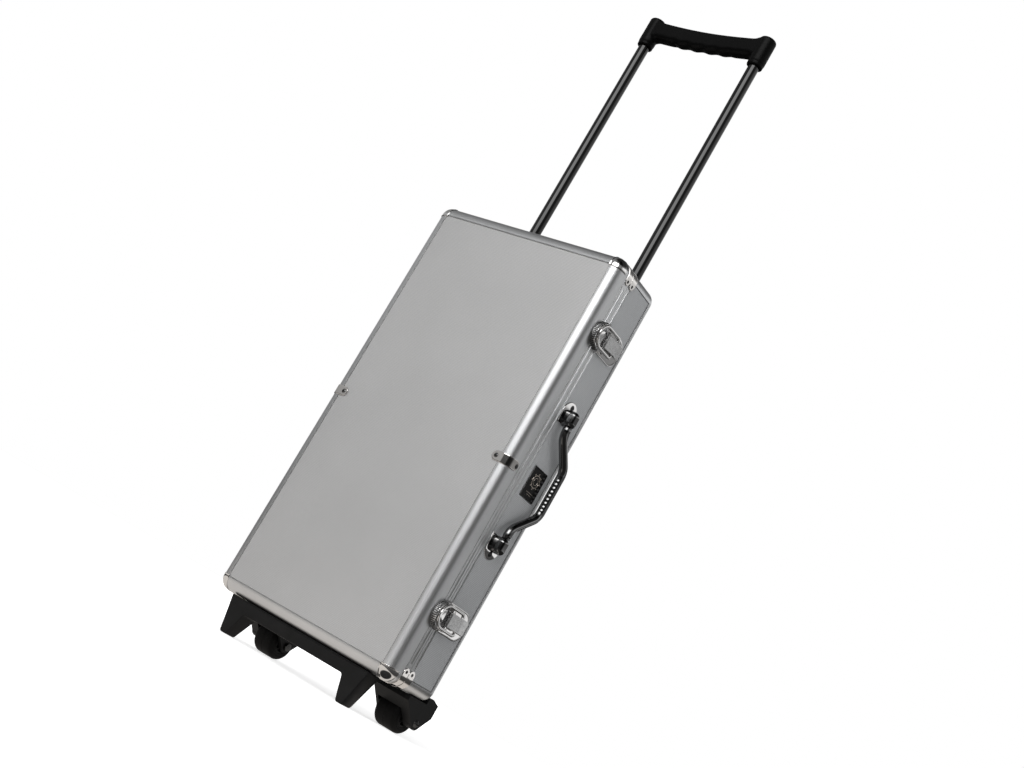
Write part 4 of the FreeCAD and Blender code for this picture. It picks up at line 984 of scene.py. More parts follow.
def knurled(shape, width, centre):
    """Fine teeth round the outer wall of a turned piece, with the grooves between them in a second,
    dark slot as painted shade.

    Each row of the shape has `width` points, of which the first three make the outer wall.
    """
    drawn_in = 0.965
    for i, (x, y, z) in enumerate(shape.points):
        if i % width in (1, 2) and i // width % 4 > 1:
            y = centre[0] + (y - centre[0]) * drawn_in
            z = centre[1] + (z - centre[1]) * drawn_in
            shape.points[i] = (x, y, z)
    # The groove faces take slot 1, a dark steel: painted shade in the grooves.
    for f, face in enumerate(shape.faces):
        outer_wall = all(i % width in (0, 1, 2) for i in face)
        if outer_wall and any(i // width % 4 > 1 for i in face):
            shape.slots[f] = 1
    return shape


def catch_dish(z):
    """Half-round dish with a tall wall, a rounded rim and a domed hook inside it."""
    low, high = span("latch_catches")
    base = low[0]
    edge = high[1]
    outer = edge - low[1]
    tall = high[0] - base
    wall = [
        (outer, 0.0), (outer, tall * 0.45), (outer - 0.15, tall - 1.0), (outer - 0.4, tall - 0.3),
        (outer - 0.9, tall), (outer - 1.5, tall - 0.35), (outer - 1.8, tall - 1.1),
        (outer - 1.9, 2.2), (outer - 2.3, 2.0), (outer - 2.6, 2.9), (outer - 3.1, 3.0),
        (outer - 3.4, 2.0), (outer - 3.8, 1.2), (outer - 4.4, 1.0), (0.05, 1.0), (0.05, 0.0),
    ]
    dish = knurled(lathe(wall, (base, edge, z), (1, 0, 0), 96, 90, 180), len(wall), (edge, z))
    hook = [
        (9.0, 1.0), (9.0, 2.6), (8.75, 3.6), (8.1, 4.3), (7.0, 4.65), (4.0, 4.7), (0.05, 4.7),
        (0.05, 1.0),
    ]
    return Shape().join(dish).join(lathe(hook, (base, edge, z), (1, 0, 0), 30, 90, 180))


def latches():
    """The two draw latches, their pins and the dishes on the lid."""
    x, y, _ = middle("latch_pins")
    pins = Shape()
    dishes = Shape()
    for short in ("lower", "upper"):
        name = f"{short}_latch"
        z = middle(f"{name}_lever")[2]
        latch_plate(name, z)
        latch_lever_piece(name, f"{short}_lever", z)
        bail_loop(name, f"{short}_bail", z)
        dishes.join(catch_dish(z))
        pins.join(lathe(rod_profile(1.35, -12.1, 12.1, 0.35, 0.3), (x, y, z), (0, 0, 1), 24))
    piece("latch_hinge_pins", pins, STEEL, "case", ["latch_pins"])
    # DARK_STEEL in the second slot darkens the knurl's grooves: painted shade.
    piece("lid_latch_dishes", dishes, [CHROME, DARK_STEEL], "lid", ["latch_catches"],
          sharp=35)


# ---------------------------------------------------------------- carry handle

BOW_ANGLE = 50.0
BOW_END = 76.0
BOW_FLAT = 24.0


def handle_centre_line():
    """Points (y, z) and tangent angles along the bow, lower end first."""
    low, high = span("carry_handle")
    rod = (high[0] - low[0]) / 2
    bend = 18.0
    flat = BOW_FLAT
    bow = high[1] - low[1] - 2 * rod
    slope = math.radians(BOW_ANGLE)
    rise = bend * (1 - math.cos(slope))
    shift = bend * math.sin(slope)
    run = (bow - rise * 2) / math.tan(slope)
    outer = flat + shift * 2 + run
    line = [((0.0, -z), 0.0) for z in np.linspace(BOW_END, outer, 5)]
    for a in np.linspace(0, slope, 9)[1:]:
        line.append(((bend * (1 - math.cos(a)), -(outer - bend * math.sin(a))), a))
    for t in np.linspace(0, 1, 6)[1:-1]:
        line.append(((rise + (bow - 2 * rise) * t, -(outer - shift) + run * t), slope))
    for a in np.linspace(slope, 0, 9):
        line.append(((bow - bend * (1 - math.cos(a)), -(flat + bend * math.sin(a))), a))
    straight = [((bow, z), 0.0) for z in np.linspace(-flat, flat, 97)[1:-1]]
    mirror = [((p[0], -p[1]), -a) for p, a in reversed(line)]
    return line + straight + mirror


def carry_handle():
    """Bent bow with finger teeth on the inner side of its grip, and a pivot at each end."""
    low, high = span("carry_handle")
    rod = (high[0] - low[0]) / 2
    x = (low[0] + high[0]) / 2
    y = low[1] + rod
    steps = 32
    teeth_end = BOW_FLAT - 0.5
    teeth_pitch = 5.2
    teeth_depth = 0.55
    rows = []
    for (across, along), angle in handle_centre_line():
        out = (math.cos(angle), -math.sin(angle))
        ridge = 0.0
        if abs(along) < teeth_end:
            fade = min(1.0, (teeth_end - abs(along)) / 3.0)
            ridge = fade * (0.5 + 0.5 * math.cos(2 * math.pi * along / teeth_pitch))
        collar = 0.5 if BOW_END - abs(along) < 2.2 else 0.0
        row = []
        for i in range(steps):
            turn = 2 * math.pi * i / steps
            inward = max(0.0, -math.cos(turn))
            r = rod - collar - teeth_depth * ridge * inward**3
            a = r * math.cos(turn)
            b = r * math.sin(turn)
            row.append((x + b, y + across + a * out[0], MIDDLE + along + a * out[1]))
        rows.append(row)
    shape = Shape().rows(rows, ring=True, caps=True)
    for way in (1, -1):
        tip = BOW_END + 11.0
        profile = [(0.02, BOW_END), (3.0, BOW_END), (3.0, tip - 0.5), (2.6, tip), (0.02, tip)]
        shape.join(lathe([(r, way * h) for r, h in profile], (x, y, MIDDLE), (0, 0, 1), 24))
    # The bow's chrome is darkened: painted dark reflection.
    piece("carry_bow", shape, BOW_CHROME_PAINTED_DARK, "handle", ["carry_handle"], sharp=50)


def mount_piece(name, way):
    """Oval plate with a block that holds the bow's pivot, the block darkened as painted dark
    reflection; returns the plate's screw head.
    """
    low, high = span(name)
    x = low[0]
    y = (low[1] + high[1]) / 2
    half = (high[1] - low[1]) / 2
    near = low[2] if way > 0 else high[2]
    far = high[2] if way > 0 else low[2]
    turn = far - way * half
    outline = [(y - half, near), (y - half, turn)]
    outline += arc_points((y, turn), half, 180, 180 - way * 180, 25)[1:-1]
    outline += [(y + half, turn), (y + half, near)]
    count = 10
    outline += [(y + half - 2 * half * i / count, near) for i in range(1, count)]
    shape = flat_plate(outline, x, 1.6, 0.9)
    block_half = 7.2
    block_length = 21.0
    z0, z1 = sorted((near, near + way * block_length))
    top = min(high[0], span("carry_handle")[1][0] + 1.0)
    block = rounded_box((x - 7.0, y - block_half, z0), (top, y + block_half, z1), 6.2, 7)
    # The block takes the darkened bow chrome: painted dark reflection.
    shape.join(tint(block, 1))
    piece(f"{name}_boss", shape, [CHROME, BOW_CHROME_PAINTED_DARK], "case", [name], sharp=50)
    spot = (x + 1.6, y, turn + way * 8.5)
    return screw_head(spot, (1, 0, 0), 3.8, 1.6, 0.55)


def badge_marks(face, y, z):
    """A plain double ring with eight edge marks, and two short bars below it."""
    centre = (face, y, z + 4.0)
    ring = [(7.2, 0.0), (7.3, 0.22), (7.8, 0.3), (8.3, 0.22), (8.4, 0.0)]
    shape = lathe(ring, centre, (1, 0, 0), 40)
    inner = [(4.2, 0.0), (4.3, 0.2), (4.6, 0.26), (4.9, 0.2), (5.0, 0.0)]
    shape.join(lathe(inner, centre, (1, 0, 0), 32))
    for i in range(8):
        mark = rounded_box((-0.1, -0.9, 8.6), (0.32, 0.9, 10.6), 0.25, 2)
        shape.join(turned(mark, math.pi / 4 * i, centre))
    for bar_z, half in ((z - 11.5, 8.0), (z - 14.1, 5.0)):
        low = (face - 0.1, y - half, bar_z - 0.35)
        high = (face + 0.28, y + half, bar_z + 0.35)
        shape.join(rounded_box(low, high, 0.15, 2))
    return shape


def nameplate():
    """Black enamelled badge with a bright bevel and plain raised marks."""
    low, high = span("nameplate")
    x = low[0]
    skin = high[0] - x
    _, y, z = middle("nameplate")
    _, half_y, half_z = (high - low) / 2
    shape = Shape()
    bevel = ((0, 0), (0, skin * 0.4), (1.0, skin))
    field = ((1.0, skin), (1.25, skin - 0.02), (1.6, skin - 0.3))
    for slot, steps in enumerate((bevel, field)):
        rows = []
        for inset, height in steps:
            rows.append([(x + height, y + a, z + b)
                         for a, b in rounded_rect(half_y - inset, half_z - inset, 1.2, 4)])
        shape.rows(rows, ring=True, slot=slot)
    shape.add(rows[-1], [tuple(range(len(rows[-1])))], 1)
    shape.join(tint(badge_marks(x + skin - 0.3, y, z), 2))
    piece("badge", shape, [STEEL, PLATE_BLACK, BADGE_LINES], "case", ["nameplate"],
          sharp=22)


# ---------------------------------------------------------------- trolley

def tube_pieces():
    """Outer and inner tubes and the collars; returns where the tubes' axes are."""
    outer_radius = 9.0
    offset = span("outer_tubes")[1][0] - outer_radius
    y = middle("outer_tubes")[1]
    for name, body, bore, radius in (("outer_tubes", "case", 7.85, outer_radius),
                                     ("inner_tubes", "trolley", 6.6, 7.75)):
        low, high = span(name)
        right = lathe(tube_profile(bore, radius, low[2], high[2]), (offset, y, 0), (0, 0, 1), 72)
        piece(f"trolley_{name}", both(right), TUBE, body, [name])
    low, high = span("tube_collars")
    r = high[0] - offset
    z0 = low[2]
    z1 = high[2]
    bore = 7.95
    collar = [(bore, z0), (r - 0.4, z0), (r, z0 + 0.4), (r, z1 - 1.6), (r - 0.45, z1 - 0.6),
              (r - 1.3, z1), (bore + 0.5, z1), (bore, z1 - 0.5), (bore, z0)]
    right = lathe(collar, (offset, y, 0), (0, 0, 1), 64)
    piece("tube_top_collars", both(right), PLASTIC, "case", ["tube_collars"])
    return offset, y


def holed_block(outline, centre, hole, z0, z1, soft):
    """A block with a rounded outline, a bore through it and softened ends."""
    outline = np.array(outline, float)
    middle = np.array(centre, float)
    out = outline - middle
    reach = np.linalg.norm(out, axis=1, keepdims=True)
    unit = out / reach
    levels = [(soft, z0), (soft * 0.3, z0 + soft * 0.3), (0.0, z0 + soft), (0.0, z1 - soft),
              (soft * 0.3, z1 - soft * 0.3), (soft, z1)]
    rows = []
    for inset, z in levels:
        ring = middle + unit * (reach - inset)
        rows.append([(a, b, z) for a, b in ring])
    for z in (z1, z0):
        ring = middle + unit * hole
        rows.append([(a, b, z) for a, b in ring])
    return Shape().rows(rows, ring=True, loop=True)


def guide_piece(offset, y):
    """Block at the case's top that guides each tube, rounded at its back corners."""
    low, high = span("tube_guides")
    half = high[0] - offset
    back = high[1]
    front = low[1]
    corner = 6.0
    side = back - corner - front
    outline = [(offset + half - 2 * half * i / 8, front) for i in range(9)]
    outline += [(offset - half, front + side * i / 6) for i in range(1, 6)]
    outline += arc_points((offset - half + corner, back - corner), corner, 180, 90, 8)
    outline += [(offset, back)]
    outline += arc_points((offset + half - corner, back - corner), corner, 90, 0, 8)
    outline += [(offset + half, back - corner - side * i / 6) for i in range(1, 6)]
    shape = holed_block(outline, (offset, y), 9.02, low[2], high[2], 1.2)
    piece("tube_guide_blocks", both(shape), PLASTIC, "case", ["tube_guides"])


def sagged(x, reach, sag):
    """How far the middle of the grip hangs below its ends."""
    return sag * (1 - (x / reach) ** 2)


def grip_bar(offset, y):
    """Cross bar of the grip: it sags a little, and has finger waves along its underside."""
    bar_low = span("grip")[0][2] + 16.5
    bar_high = bar_low + 25.5
    sag = 4.5
    reach = offset - 2.0
    rows = []
    for x in np.linspace(-reach, reach, 121):
        share = (x / reach + 1) / 2
        top = bar_high - sagged(x, reach, sag)
        wave_zone = min(max((share - 0.2) / 0.05, 0), max((0.8 - share) / 0.05, 0), 1)
        wave = wave_zone * 0.8 * math.cos(2 * math.pi * x / 23.0)
        bottom = bar_low - sagged(x, reach, sag) + wave - 1.2
        near = max(0.0, abs(x) - (offset - 12.0 - 6.0)) / 6.0
        flare = 1.4 * min(near, 1.4) ** 2
        half = (top - bottom) / 2 + flare
        depth = 10.4 - 0.4 * math.cos(math.pi * x / reach)
        points = rounded_rect(depth, half, 7.0, 6)
        rows.append([(x, y + a, (top + bottom) / 2 + b) for a, b in points])
    return Shape().rows(rows, ring=True, caps=True)


def grip_sleeve(offset, y):
    """Sleeve over the tube's end: a band at its foot, a domed top and a blind bore."""
    low, high = span("grip")
    r = high[0] - offset
    z0 = low[2]
    z1 = high[2] - 2.5
    bore = 7.8
    bore_end = z1 - 28.0
    shoulder = z1 - 4.6
    profile = [(bore, z0), (r - 1.6, z0), (r - 0.9, z0 + 0.3), (r - 0.6, z0 + 0.9),
               (r - 0.6, z0 + 5.2), (r - 0.1, z0 + 6.2), (r, z0 + 7.0), (r, shoulder)]
    for i in range(1, 10):
        angle = math.pi / 2 * i / 9
        profile.append((r - 4.4 + 4.4 * math.cos(angle), shoulder + 3.6 * math.sin(angle)))
    profile += [(r * 0.35, z1 - 0.2), (0.02, z1)]
    profile += [(0.02, bore_end), (bore, bore_end), (bore, z0)]
    return lathe(profile, (offset, y, 0), (0, 0, 1), 72)


def moulded(name, shape, size, rounds):
    """Melt overlapping shapes into one skin with soft inner corners."""
    rough = piece(name + "_rough", shape, GRIP_PLASTIC, "trolley")
    remesh = rough.modifiers.new("melt", "REMESH")
    remesh.mode = "VOXEL"
    remesh.voxel_size = size * MM
    remesh.use_smooth_shade = True
    soften = rough.modifiers.new("soften", "SMOOTH")
    soften.iterations = rounds
    soften.factor = 0.5
    solid = bpy.data.meshes.new_from_object(
        rough.evaluated_get(bpy.context.evaluated_depsgraph_get())
    )
    bpy.data.objects.remove(rough)
    solid.name = name
    return linked(name, solid)


def grip_piece(offset, y):
    shape = grip_bar(offset, y).join(both(grip_sleeve(offset, y)))
    size, rounds = ((0.75, 10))
    obj = moulded("cross_grip", shape, size, rounds)
    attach(obj, "trolley")
    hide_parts("grip")


def button_piece(offset, y):
    """Release button: cap, cross bar inside the grip and a pull rod down each tube."""
    low, high = span("release_button")
    top = high[2]
    half = 14.0
    cap = rounded_box((-half, y - 5.0, top - 11.5), (half, y + 5.0, top), 1.6, 4)
    bar = rounded_box((low[0], y - 2.5, top - 14.7), (high[0], y + 2.5, top - 11.3), 0.5, 2)
    cap.join(bar)
    rod_top = top - 12.0
    pull_rod = [(0.02, low[2]), (1.7, low[2]), (2.0, low[2] + 0.3), (2.0, rod_top), (0.02, rod_top)]
    cap.join(both(lathe(pull_rod, (offset, y, 0), (0, 0, 1), 20)))
    piece("push_button", cap, BUTTON_PLASTIC, "button", ["release_button"])


def spring_piece(y):
    """Coil under the button."""
    low, high = span("button_spring")
    wire = 0.45
    radius = (high[0] - low[0]) / 2 - 0.5
    turns = 4.0
    steps = 120
    rows = []
    for i in range(steps + 1):
        angle = 2 * math.pi * turns * i / steps
        z = low[2] + 0.5 + (high[2] - low[2] - 1.0) * i / steps
        out = np.array((math.cos(angle), math.sin(angle), 0.0))
        centre = out * radius + np.array((0.0, y, z))
        rows.append([centre + out * wire * math.cos(t) + np.array((0, 0, wire * math.sin(t)))
                     for t in np.linspace(0, 2 * math.pi, 11)[:-1]])
    shape = Shape().rows(rows, ring=True, caps=True)
    coil = piece("button_coil", shape, STEEL, "trolley", ["button_spring"])
    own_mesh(coil)


# ---------------------------------------------------------------- carriage

def rounded_outline(corners, radii, steps=5):
    """Polygon points with each corner rounded to its own radius."""
    count = len(corners)
    points = []
    for i in range(count):
        here = np.array(corners[i], float)
        before = np.array(corners[i - 1], float) - here
        after = np.array(corners[(i + 1) % count], float) - here
        length = min(np.linalg.norm(before), np.linalg.norm(after)) * 0.45
        before /= np.linalg.norm(before)
        after /= np.linalg.norm(after)
        half_angle = math.acos(max(-1, min(1, float(before @ after)))) / 2
        tangent = min(radii[i] / max(math.tan(half_angle), 1e-6), length)
        a = here + before * tangent
        b = here + after * tangent
        for j in range(steps + 1):
            t = j / steps
            points.append(tuple((1 - t) ** 2 * a + 2 * t * (1 - t) * here + t**2 * b))
    return points


def inset_outline(points, inset):
    """Move every point of a closed outline inwards along its normal."""
    points = np.array(points, float)
    ahead = np.roll(points, -1, axis=0) - np.roll(points, 1, axis=0)
    ahead /= np.maximum(np.linalg.norm(ahead, axis=1, keepdims=True), 1e-9)
    normal = np.stack([-ahead[:, 1], ahead[:, 0]], axis=1)
    a, b = points.T
    area = np.sum(a * np.roll(b, -1) - b * np.roll(a, -1))
    return points + normal * (inset if area > 0 else -inset)


def foot_bar_piece():
    """Bar under the lid's end with two tapered feet, and the flange that holds it."""
    low, high = span("foot_bar")
    half = high[0]
    floor = low[2]
    under_lid = -0.6
    bar = -16.6
    left_foot = [(-half, under_lid), (-half + 12, floor), (-half + 23, floor), (-half + 34, bar)]
    corners = left_foot + [(-x, z) for x, z in reversed(left_foot)]
    outline = rounded_outline(corners, [1.2, 4.0, 4.0, 5.0, 5.0, 4.0, 4.0, 1.2])
    y0 = low[1]
    y1 = y0 + 25.0
    front = ((1.4, 0.0), (0.75, 0.1), (0.25, 0.5), (0.0, 1.3), (0.0, y1 - 1.0 - y0))
    rows = []
    for inset, y in ((inset, y0 + depth) for inset, depth in front):
        rows.append([(x, y, z) for x, z in inset_outline(outline, inset)])
    last = []
    for x, z in inset_outline(outline, 0.6):
        back = y1 - 7.0 * max(0.0, (bar - z) / (bar - floor))
        last.append((x, back, z))
    rows[-1] = [(x, min(y, b[1] - 0.6), z) for (x, y, z), b in zip(rows[-1], last)]
    rows.append(last)
    shape = Shape().rows(rows, ring=True, caps=True)
    flange = half - 6
    flange_low = -6.0
    shape.join(rounded_box((-flange, y1 - 1.0, flange_low), (flange, -18.4, under_lid), 0.5, 2))
    shape.join(rounded_box((-flange, -18.6, flange_low), (flange, high[1], 0.0), 0.5, 2))
    piece("front_foot_bar", shape, PLASTIC, "case", ["foot_bar"], sharp=38)


def node_finish(node, material, bevel=0.0, steps=2, sharp=35.0):
    """Give a CAD node its finish, with its edges softened."""
    obj = frame_node(node)
    obj.data.materials.clear()
    obj.data.materials.append(material)
    if bevel:
        soft = obj.modifiers.new("soft_edges", "BEVEL")
        soft.width = bevel * MM
        soft.segments = steps
        soft.limit_method = "ANGLE"
        soft.angle_limit = math.radians(sharp)
        soft.harden_normals = True
    return obj


def frame_node(node):
    """The object that the frame made for a CAD node."""
    return next(o for o in bpy.data.objects if o.get("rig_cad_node") == node)


def tyre(centre_x, y, z, radius, half):
    """Rubber tyre: rounded shoulders, a shallow groove each side and a mould line."""
    shoulder = 5.5
    profile = [(12.0, 1.2 - half), (12.6, 0.2 - half), (14.2, -half), (15.4, -half),
               (15.8, 0.5 - half), (16.6, 0.5 - half), (17.0, 0.05 - half)]
    profile += arc_points((radius - shoulder, shoulder - half), shoulder, -90, 0, 9)
    profile += [(radius, -0.4), (radius - 0.25, -0.25)]
    return lathe(even_profile(profile), (centre_x, y, z), (1, 0, 0), 96)


def hub(centre_x, y, z, half):
    """Plastic wheel centre: a rim, a dished web with six ribs and a nave."""
    profile = [(2.7, -half), (5.4, -half), (6.0, 0.5 - half), (6.0, 4.5 - half), (6.8, 5.5 - half),
               (9.6, 5.5 - half), (10.2, 4.6 - half), (10.3, 2.2 - half), (11.0, 1.7 - half),
               (12.0, 2.2 - half)]
    shape = lathe(even_profile(profile), (centre_x, y, z), (1, 0, 0), 64)
    for i in range(6):
        for way in (-1, 1):
            x0, x1 = sorted((way * (half - 2.6), way * (half - 6.0)))
            rib = rounded_box((x0, 5.4, -0.9), (x1, 10.8, 0.9), 0.3, 2)
            shape.join(turned(rib, math.pi / 3 * i, (centre_x, y, z)))
    return shape


def hexagon(x0, x1, y, z, radius, bore):
    """A hexagon nut with chamfered corners."""
    outline = spaced(arc_points((0.0, 0.0), radius, 0, 300, 6), radius / 4.01)
    cut_circle = radius * 0.88
    rows = []
    for inset, x in ((1, x0), (0, x0 + 0.6), (0, x1 - 0.6), (1, x1)):
        row = []
        for a, b in outline:
            r = math.hypot(a, b)
            share = min(1.0, cut_circle / r) if inset else 1.0
            row.append((x, y + a * share, z + b * share))
        rows.append(row)
    for x in (x1, x0):
        rows.append([(x, y + a * bore / math.hypot(a, b), z + b * bore / math.hypot(a, b))
                     for a, b in outline])
    return Shape().rows(rows, ring=True, loop=True)


def wheel_pieces():
    """Tyres, wheel centres, axle bolts and their nuts."""
    nuts = Shape()
    nut_end = span("axle_nuts")[1][0]
    for side, way in (("right", 1), ("left", -1)):
        low, high = span(f"{side}_tyre")
        x, y, z = (low + high) / 2
        half, _, radius = (high - low) / 2
        piece(f"{side}_rubber_tyre", tyre(x, y, z, radius, half), TYRE, f"{side}_wheel",
              [f"{side}_tyre"], sharp=30)
        piece(f"{side}_wheel_centre", hub(x, y, z, half + 1.5), PLASTIC, f"{side}_wheel",
              [f"{side}_hub"], sharp=30)
        bolt_low, bolt_high = span(f"{side}_axle_bolt")
        head_x = bolt_high[0] - 2.6 if way > 0 else bolt_low[0] + 2.6
        end_x = bolt_low[0] if way > 0 else bolt_high[0]
        bolt = screw_head((head_x, y, z), (way, 0, 0), 4.65, 2.6, 0.6)
        x0, x1 = sorted((head_x, end_x))
        bolt.join(lathe(rod_profile(2.5, x0, x1, 0.4), (0, y, z), (1, 0, 0), 32))
        # The bolt's steel is painted shade: kept almost black.
        piece(f"{side}_wheel_bolt", bolt, AXLE_STEEL_PAINTED_SHADE, "case", [f"{side}_axle_bolt"])
        x0, x1 = sorted((way * nut_end, way * (nut_end - 3.5)))
        nuts.join(hexagon(x0, x1, y, z, 5.5, 2.5))
    # The nuts' steel is painted shade: kept almost black.
    piece("wheel_bolt_nuts", nuts, AXLE_STEEL_PAINTED_SHADE, "case", ["axle_nuts"], sharp=30)


def carriage_heads():
    """Screws that hold the foot bar below and the tube guides behind."""
    high = span("carriage_screws")[1]
    shape = Shape()
    for x in (35.0, 95.0):
        shape.join(screw_head((x, -10.0, -6.0), (0, 0, -1), 4.0, 1.8, 0.55))
    for z in (TOP - 28.0, TOP - 14.0):
        shape.join(screw_head((high[0] - 3.4, high[1] - 1.5, z), (0, 1, 0), 3.4, 1.5, 0.5))
    piece("carriage_screw_heads", both(shape), DARK_STEEL, "case", ["carriage_screws"])


# ---------------------------------------------------------------- hinge and inside

def hinge_pieces():
    """Piano hinge: two screwed leaves whose knuckles take turns along the pin."""
    pin_low, pin_high = span("hinge_pin")
    x, y, _ = middle("hinge_pin")
    low_z = pin_low[2]
    count = 12
    pitch = (pin_high[2] - pin_low[2]) / count
    for half, way, first, body in (("lid", -1, 0, "lid"), ("base", 1, 1, "case")):
        low, high = span(f"hinge_{half}_leaf")
        outer = high[0] - 1.0
        near = y + way * 3.4
        far = low[1] if way < 0 else high[1]
        y0, y1 = sorted((near, far))
        shape = rounded_box((outer, y0, low[2]), (high[0], y1, high[2]), 0.35, 2)
        for index in range(first, count, 2):
            z0 = low_z + pitch * index + 0.1
            z1 = z0 + pitch - 0.2
            ring = [(1.35, z0), (2.6, z0), (3.0, z0 + 0.4), (3.0, z1 - 0.4), (2.6, z1), (1.35, z1),
                    (1.35, z0)]
            shape.join(lathe(ring, (x, y, 0), (0, 0, 1), 32))
            b0, b1 = sorted((y, near + way * 0.5))
            shape.join(rounded_box((outer, b0, z0), (high[0], b1, z1), 0.3, 2))
        for index in range(count * 2):
            z = low_z + pitch / 2 * (index + 0.5)
            shape.join(screw_head((outer, (near + far) / 2 + way * 0.3, z), (-1, 0, 0), 1.7, 0.6, 0.3,
                                  20, 5))
        piece(f"hinge_leaf_{half}", shape, STEEL, body, [f"hinge_{half}_leaf"])
    wire = lathe(rod_profile(1.25, pin_low[2], pin_high[2], 0.2), (x, y, 0), (0, 0, 1), 20)
    piece("hinge_wire", wire, STEEL, "case", ["hinge_pin"])


def lid_foam():
    """Egg-crate foam: soft hills on the side that faces the tray."""
    low, high = span("lid_pad")
    face = high[1]
    hill = 2.4
    pitch = 14.0
    step = 1.75
    nx = int((high[0] - low[0]) / step)
    nz = int((high[2] - low[2]) / step)
    xs = np.linspace(low[0], high[0], nx + 1)
    zs = np.linspace(low[2], high[2], nz + 1)
    rows = []
    for z in zs:
        row = []
        for x in xs:
            edge = min(x - low[0], high[0] - x, z - low[2], high[2] - z)
            wave = math.cos(2 * math.pi * x / pitch) * math.cos(2 * math.pi * (z - MIDDLE) / pitch)
            y = face - hill * (1 - wave)
            y -= 2.5 * max(0.0, 1 - edge / 3.5) ** 2
            row.append((x, y, z))
        rows.append(row)
    shape = Shape().rows(rows)
    rim = [(x, zs[0]) for x in xs] + [(xs[-1], z) for z in zs[1:]]
    rim += [(x, zs[-1]) for x in xs[::-1][1:]] + [(xs[0], z) for z in zs[::-1][1:-1]]
    front_rows = []
    lookup = {(round(p[0], 3), round(p[2], 3)): p[1] for p in shape.points}
    for x, z in rim:
        y = lookup[(round(x, 3), round(z, 3))]
        front_rows.append([(x, y, z), (x, (y + low[1]) / 2, z), (x, low[1] + 0.8, z),
                           (x - math.copysign(0.8, x), low[1], z)])
    shape.rows(front_rows, loop=True)
    piece("lid_foam_pad", shape, FOAM, "lid", ["lid_pad"], sharp=60)


# ---------------------------------------------------------------- put it together

def rims_and_beads():
    """The two closing rims, and the serrated lines of each half as one piece."""
    rim_piece("lid_closing_rim", "lid_rim", "lid", PARTING - 5.0)
    rim_piece("base_closing_rim", "base_rim", "case", PARTING + 5.5)
    # The second slot is painted shade: the dark strips in the gaps.
    finish = [BEAD_METAL, PAINTED_GAP_SHADE]
    lid_lines = face_beads(span("lid_panel")[0][1], -1)
    lid_lines.join(side_beads(LID_SIDE_END - 0.8))
    piece("lid_serrated_lines", lid_lines, finish, "lid", (), sharp=25)
    base_lines = side_beads(BASE_SIDE_END + 0.9, ends=False)
    base_lines.join(face_beads(span("base_panel")[1][1], 1))
    base_lines.join(side_board_gap_shade())
    piece("base_serrated_lines", base_lines, finish, "case", (), sharp=25)


def case_parts():
    shell("lid", FRONT, 1, LID_SIDE_END - FRONT, "lid")
    shell("base", BACK, -1, BACK - BASE_SIDE_END, "case")
    panel_piece("lid_face_board", "lid_panel", "lid", LAMINATE_FRONT)
    panel_piece("base_face_board", "base_panel", "case", LAMINATE_FRONT)
    panel_piece("base_top_board", "base_top_wall", "case", LAMINATE_END)
    node_finish("base_bottom_wall", LAMINATE_END, 0.3)
    side_wall_piece()
    rims_and_beads()
    lid_caps()
    straps()
    clips("lid", "lid")
    clips("base", "case")


def fittings():
    """Latches, carry handle, badge and hinge."""
    latches()
    carry_handle()
    heads = mount_piece("upper_handle_mount", 1)
    heads.join(mount_piece("lower_handle_mount", -1))
    piece("handle_mount_screws", heads, DARK_STEEL, "case", ["handle_screws"])
    nameplate()
    hinge_pieces()


def trolley_parts():
    offset, y = tube_pieces()
    guide_piece(offset, y)
    grip_piece(offset, y)
    button_piece(offset, y)
    spring_piece(y)
    node_finish("tube_bushes", PLASTIC, 0.5)
    for side in ("right", "left"):
        node_finish(f"{side}_lock_pin", STEEL, 0.3)


def carriage_parts():
    foot_bar_piece()
    for side in ("right", "left"):
        node_finish(f"{side}_wheel_housing", PLASTIC, 1.0, 3)
    wheel_pieces()
    carriage_heads()


def inside_parts():
    lid_foam()
    node_finish("chip_tray", FLOCK, 1.0, 3)


# ---------------------------------------------------------------- studio

CAMERA_PLACE = (1.130712, -1.38916, 0.008789)
CAMERA_RIGHT = (0.74939454, 0.44671137, 0.48872975)
CAMERA_DOWN = (0.28409522, 0.44979604, -0.84674283)
CAMERA_AHEAD = (-0.59807837, 0.77339024, 0.21016612)


CAMERA_LENS = 51.113


def camera():
    data = bpy.data.cameras.new("camera")
    data.sensor_width = 36.0
    data.lens = CAMERA_LENS
    matrix = Matrix.Identity(4)
    for row in range(3):
        matrix[row][0] = CAMERA_RIGHT[row]
        matrix[row][1] = -CAMERA_DOWN[row]
        matrix[row][2] = -CAMERA_AHEAD[row]
        matrix[row][3] = CAMERA_PLACE[row]
    obj = linked("camera", data)
    obj.matrix_world = matrix
    bpy.context.scene.camera = obj


def softbox(name, place, target, size, power):
    """A soft light for shading alone: polished parts mirror the graded sky instead."""
    data = bpy.data.lights.new(name, "AREA")
    data.shape = "RECTANGLE"
    data.size, data.size_y = size
    data.energy = power
    obj = linked(name, data)
    obj.location = place
    obj.rotation_euler = (Vector(target) - Vector(place)).to_track_quat("-Z", "Y").to_euler()
    obj.visible_camera = False
    obj.visible_glossy = False


# How bright the walls of the studio look to shaded surfaces.
AMBIENT = 0.34
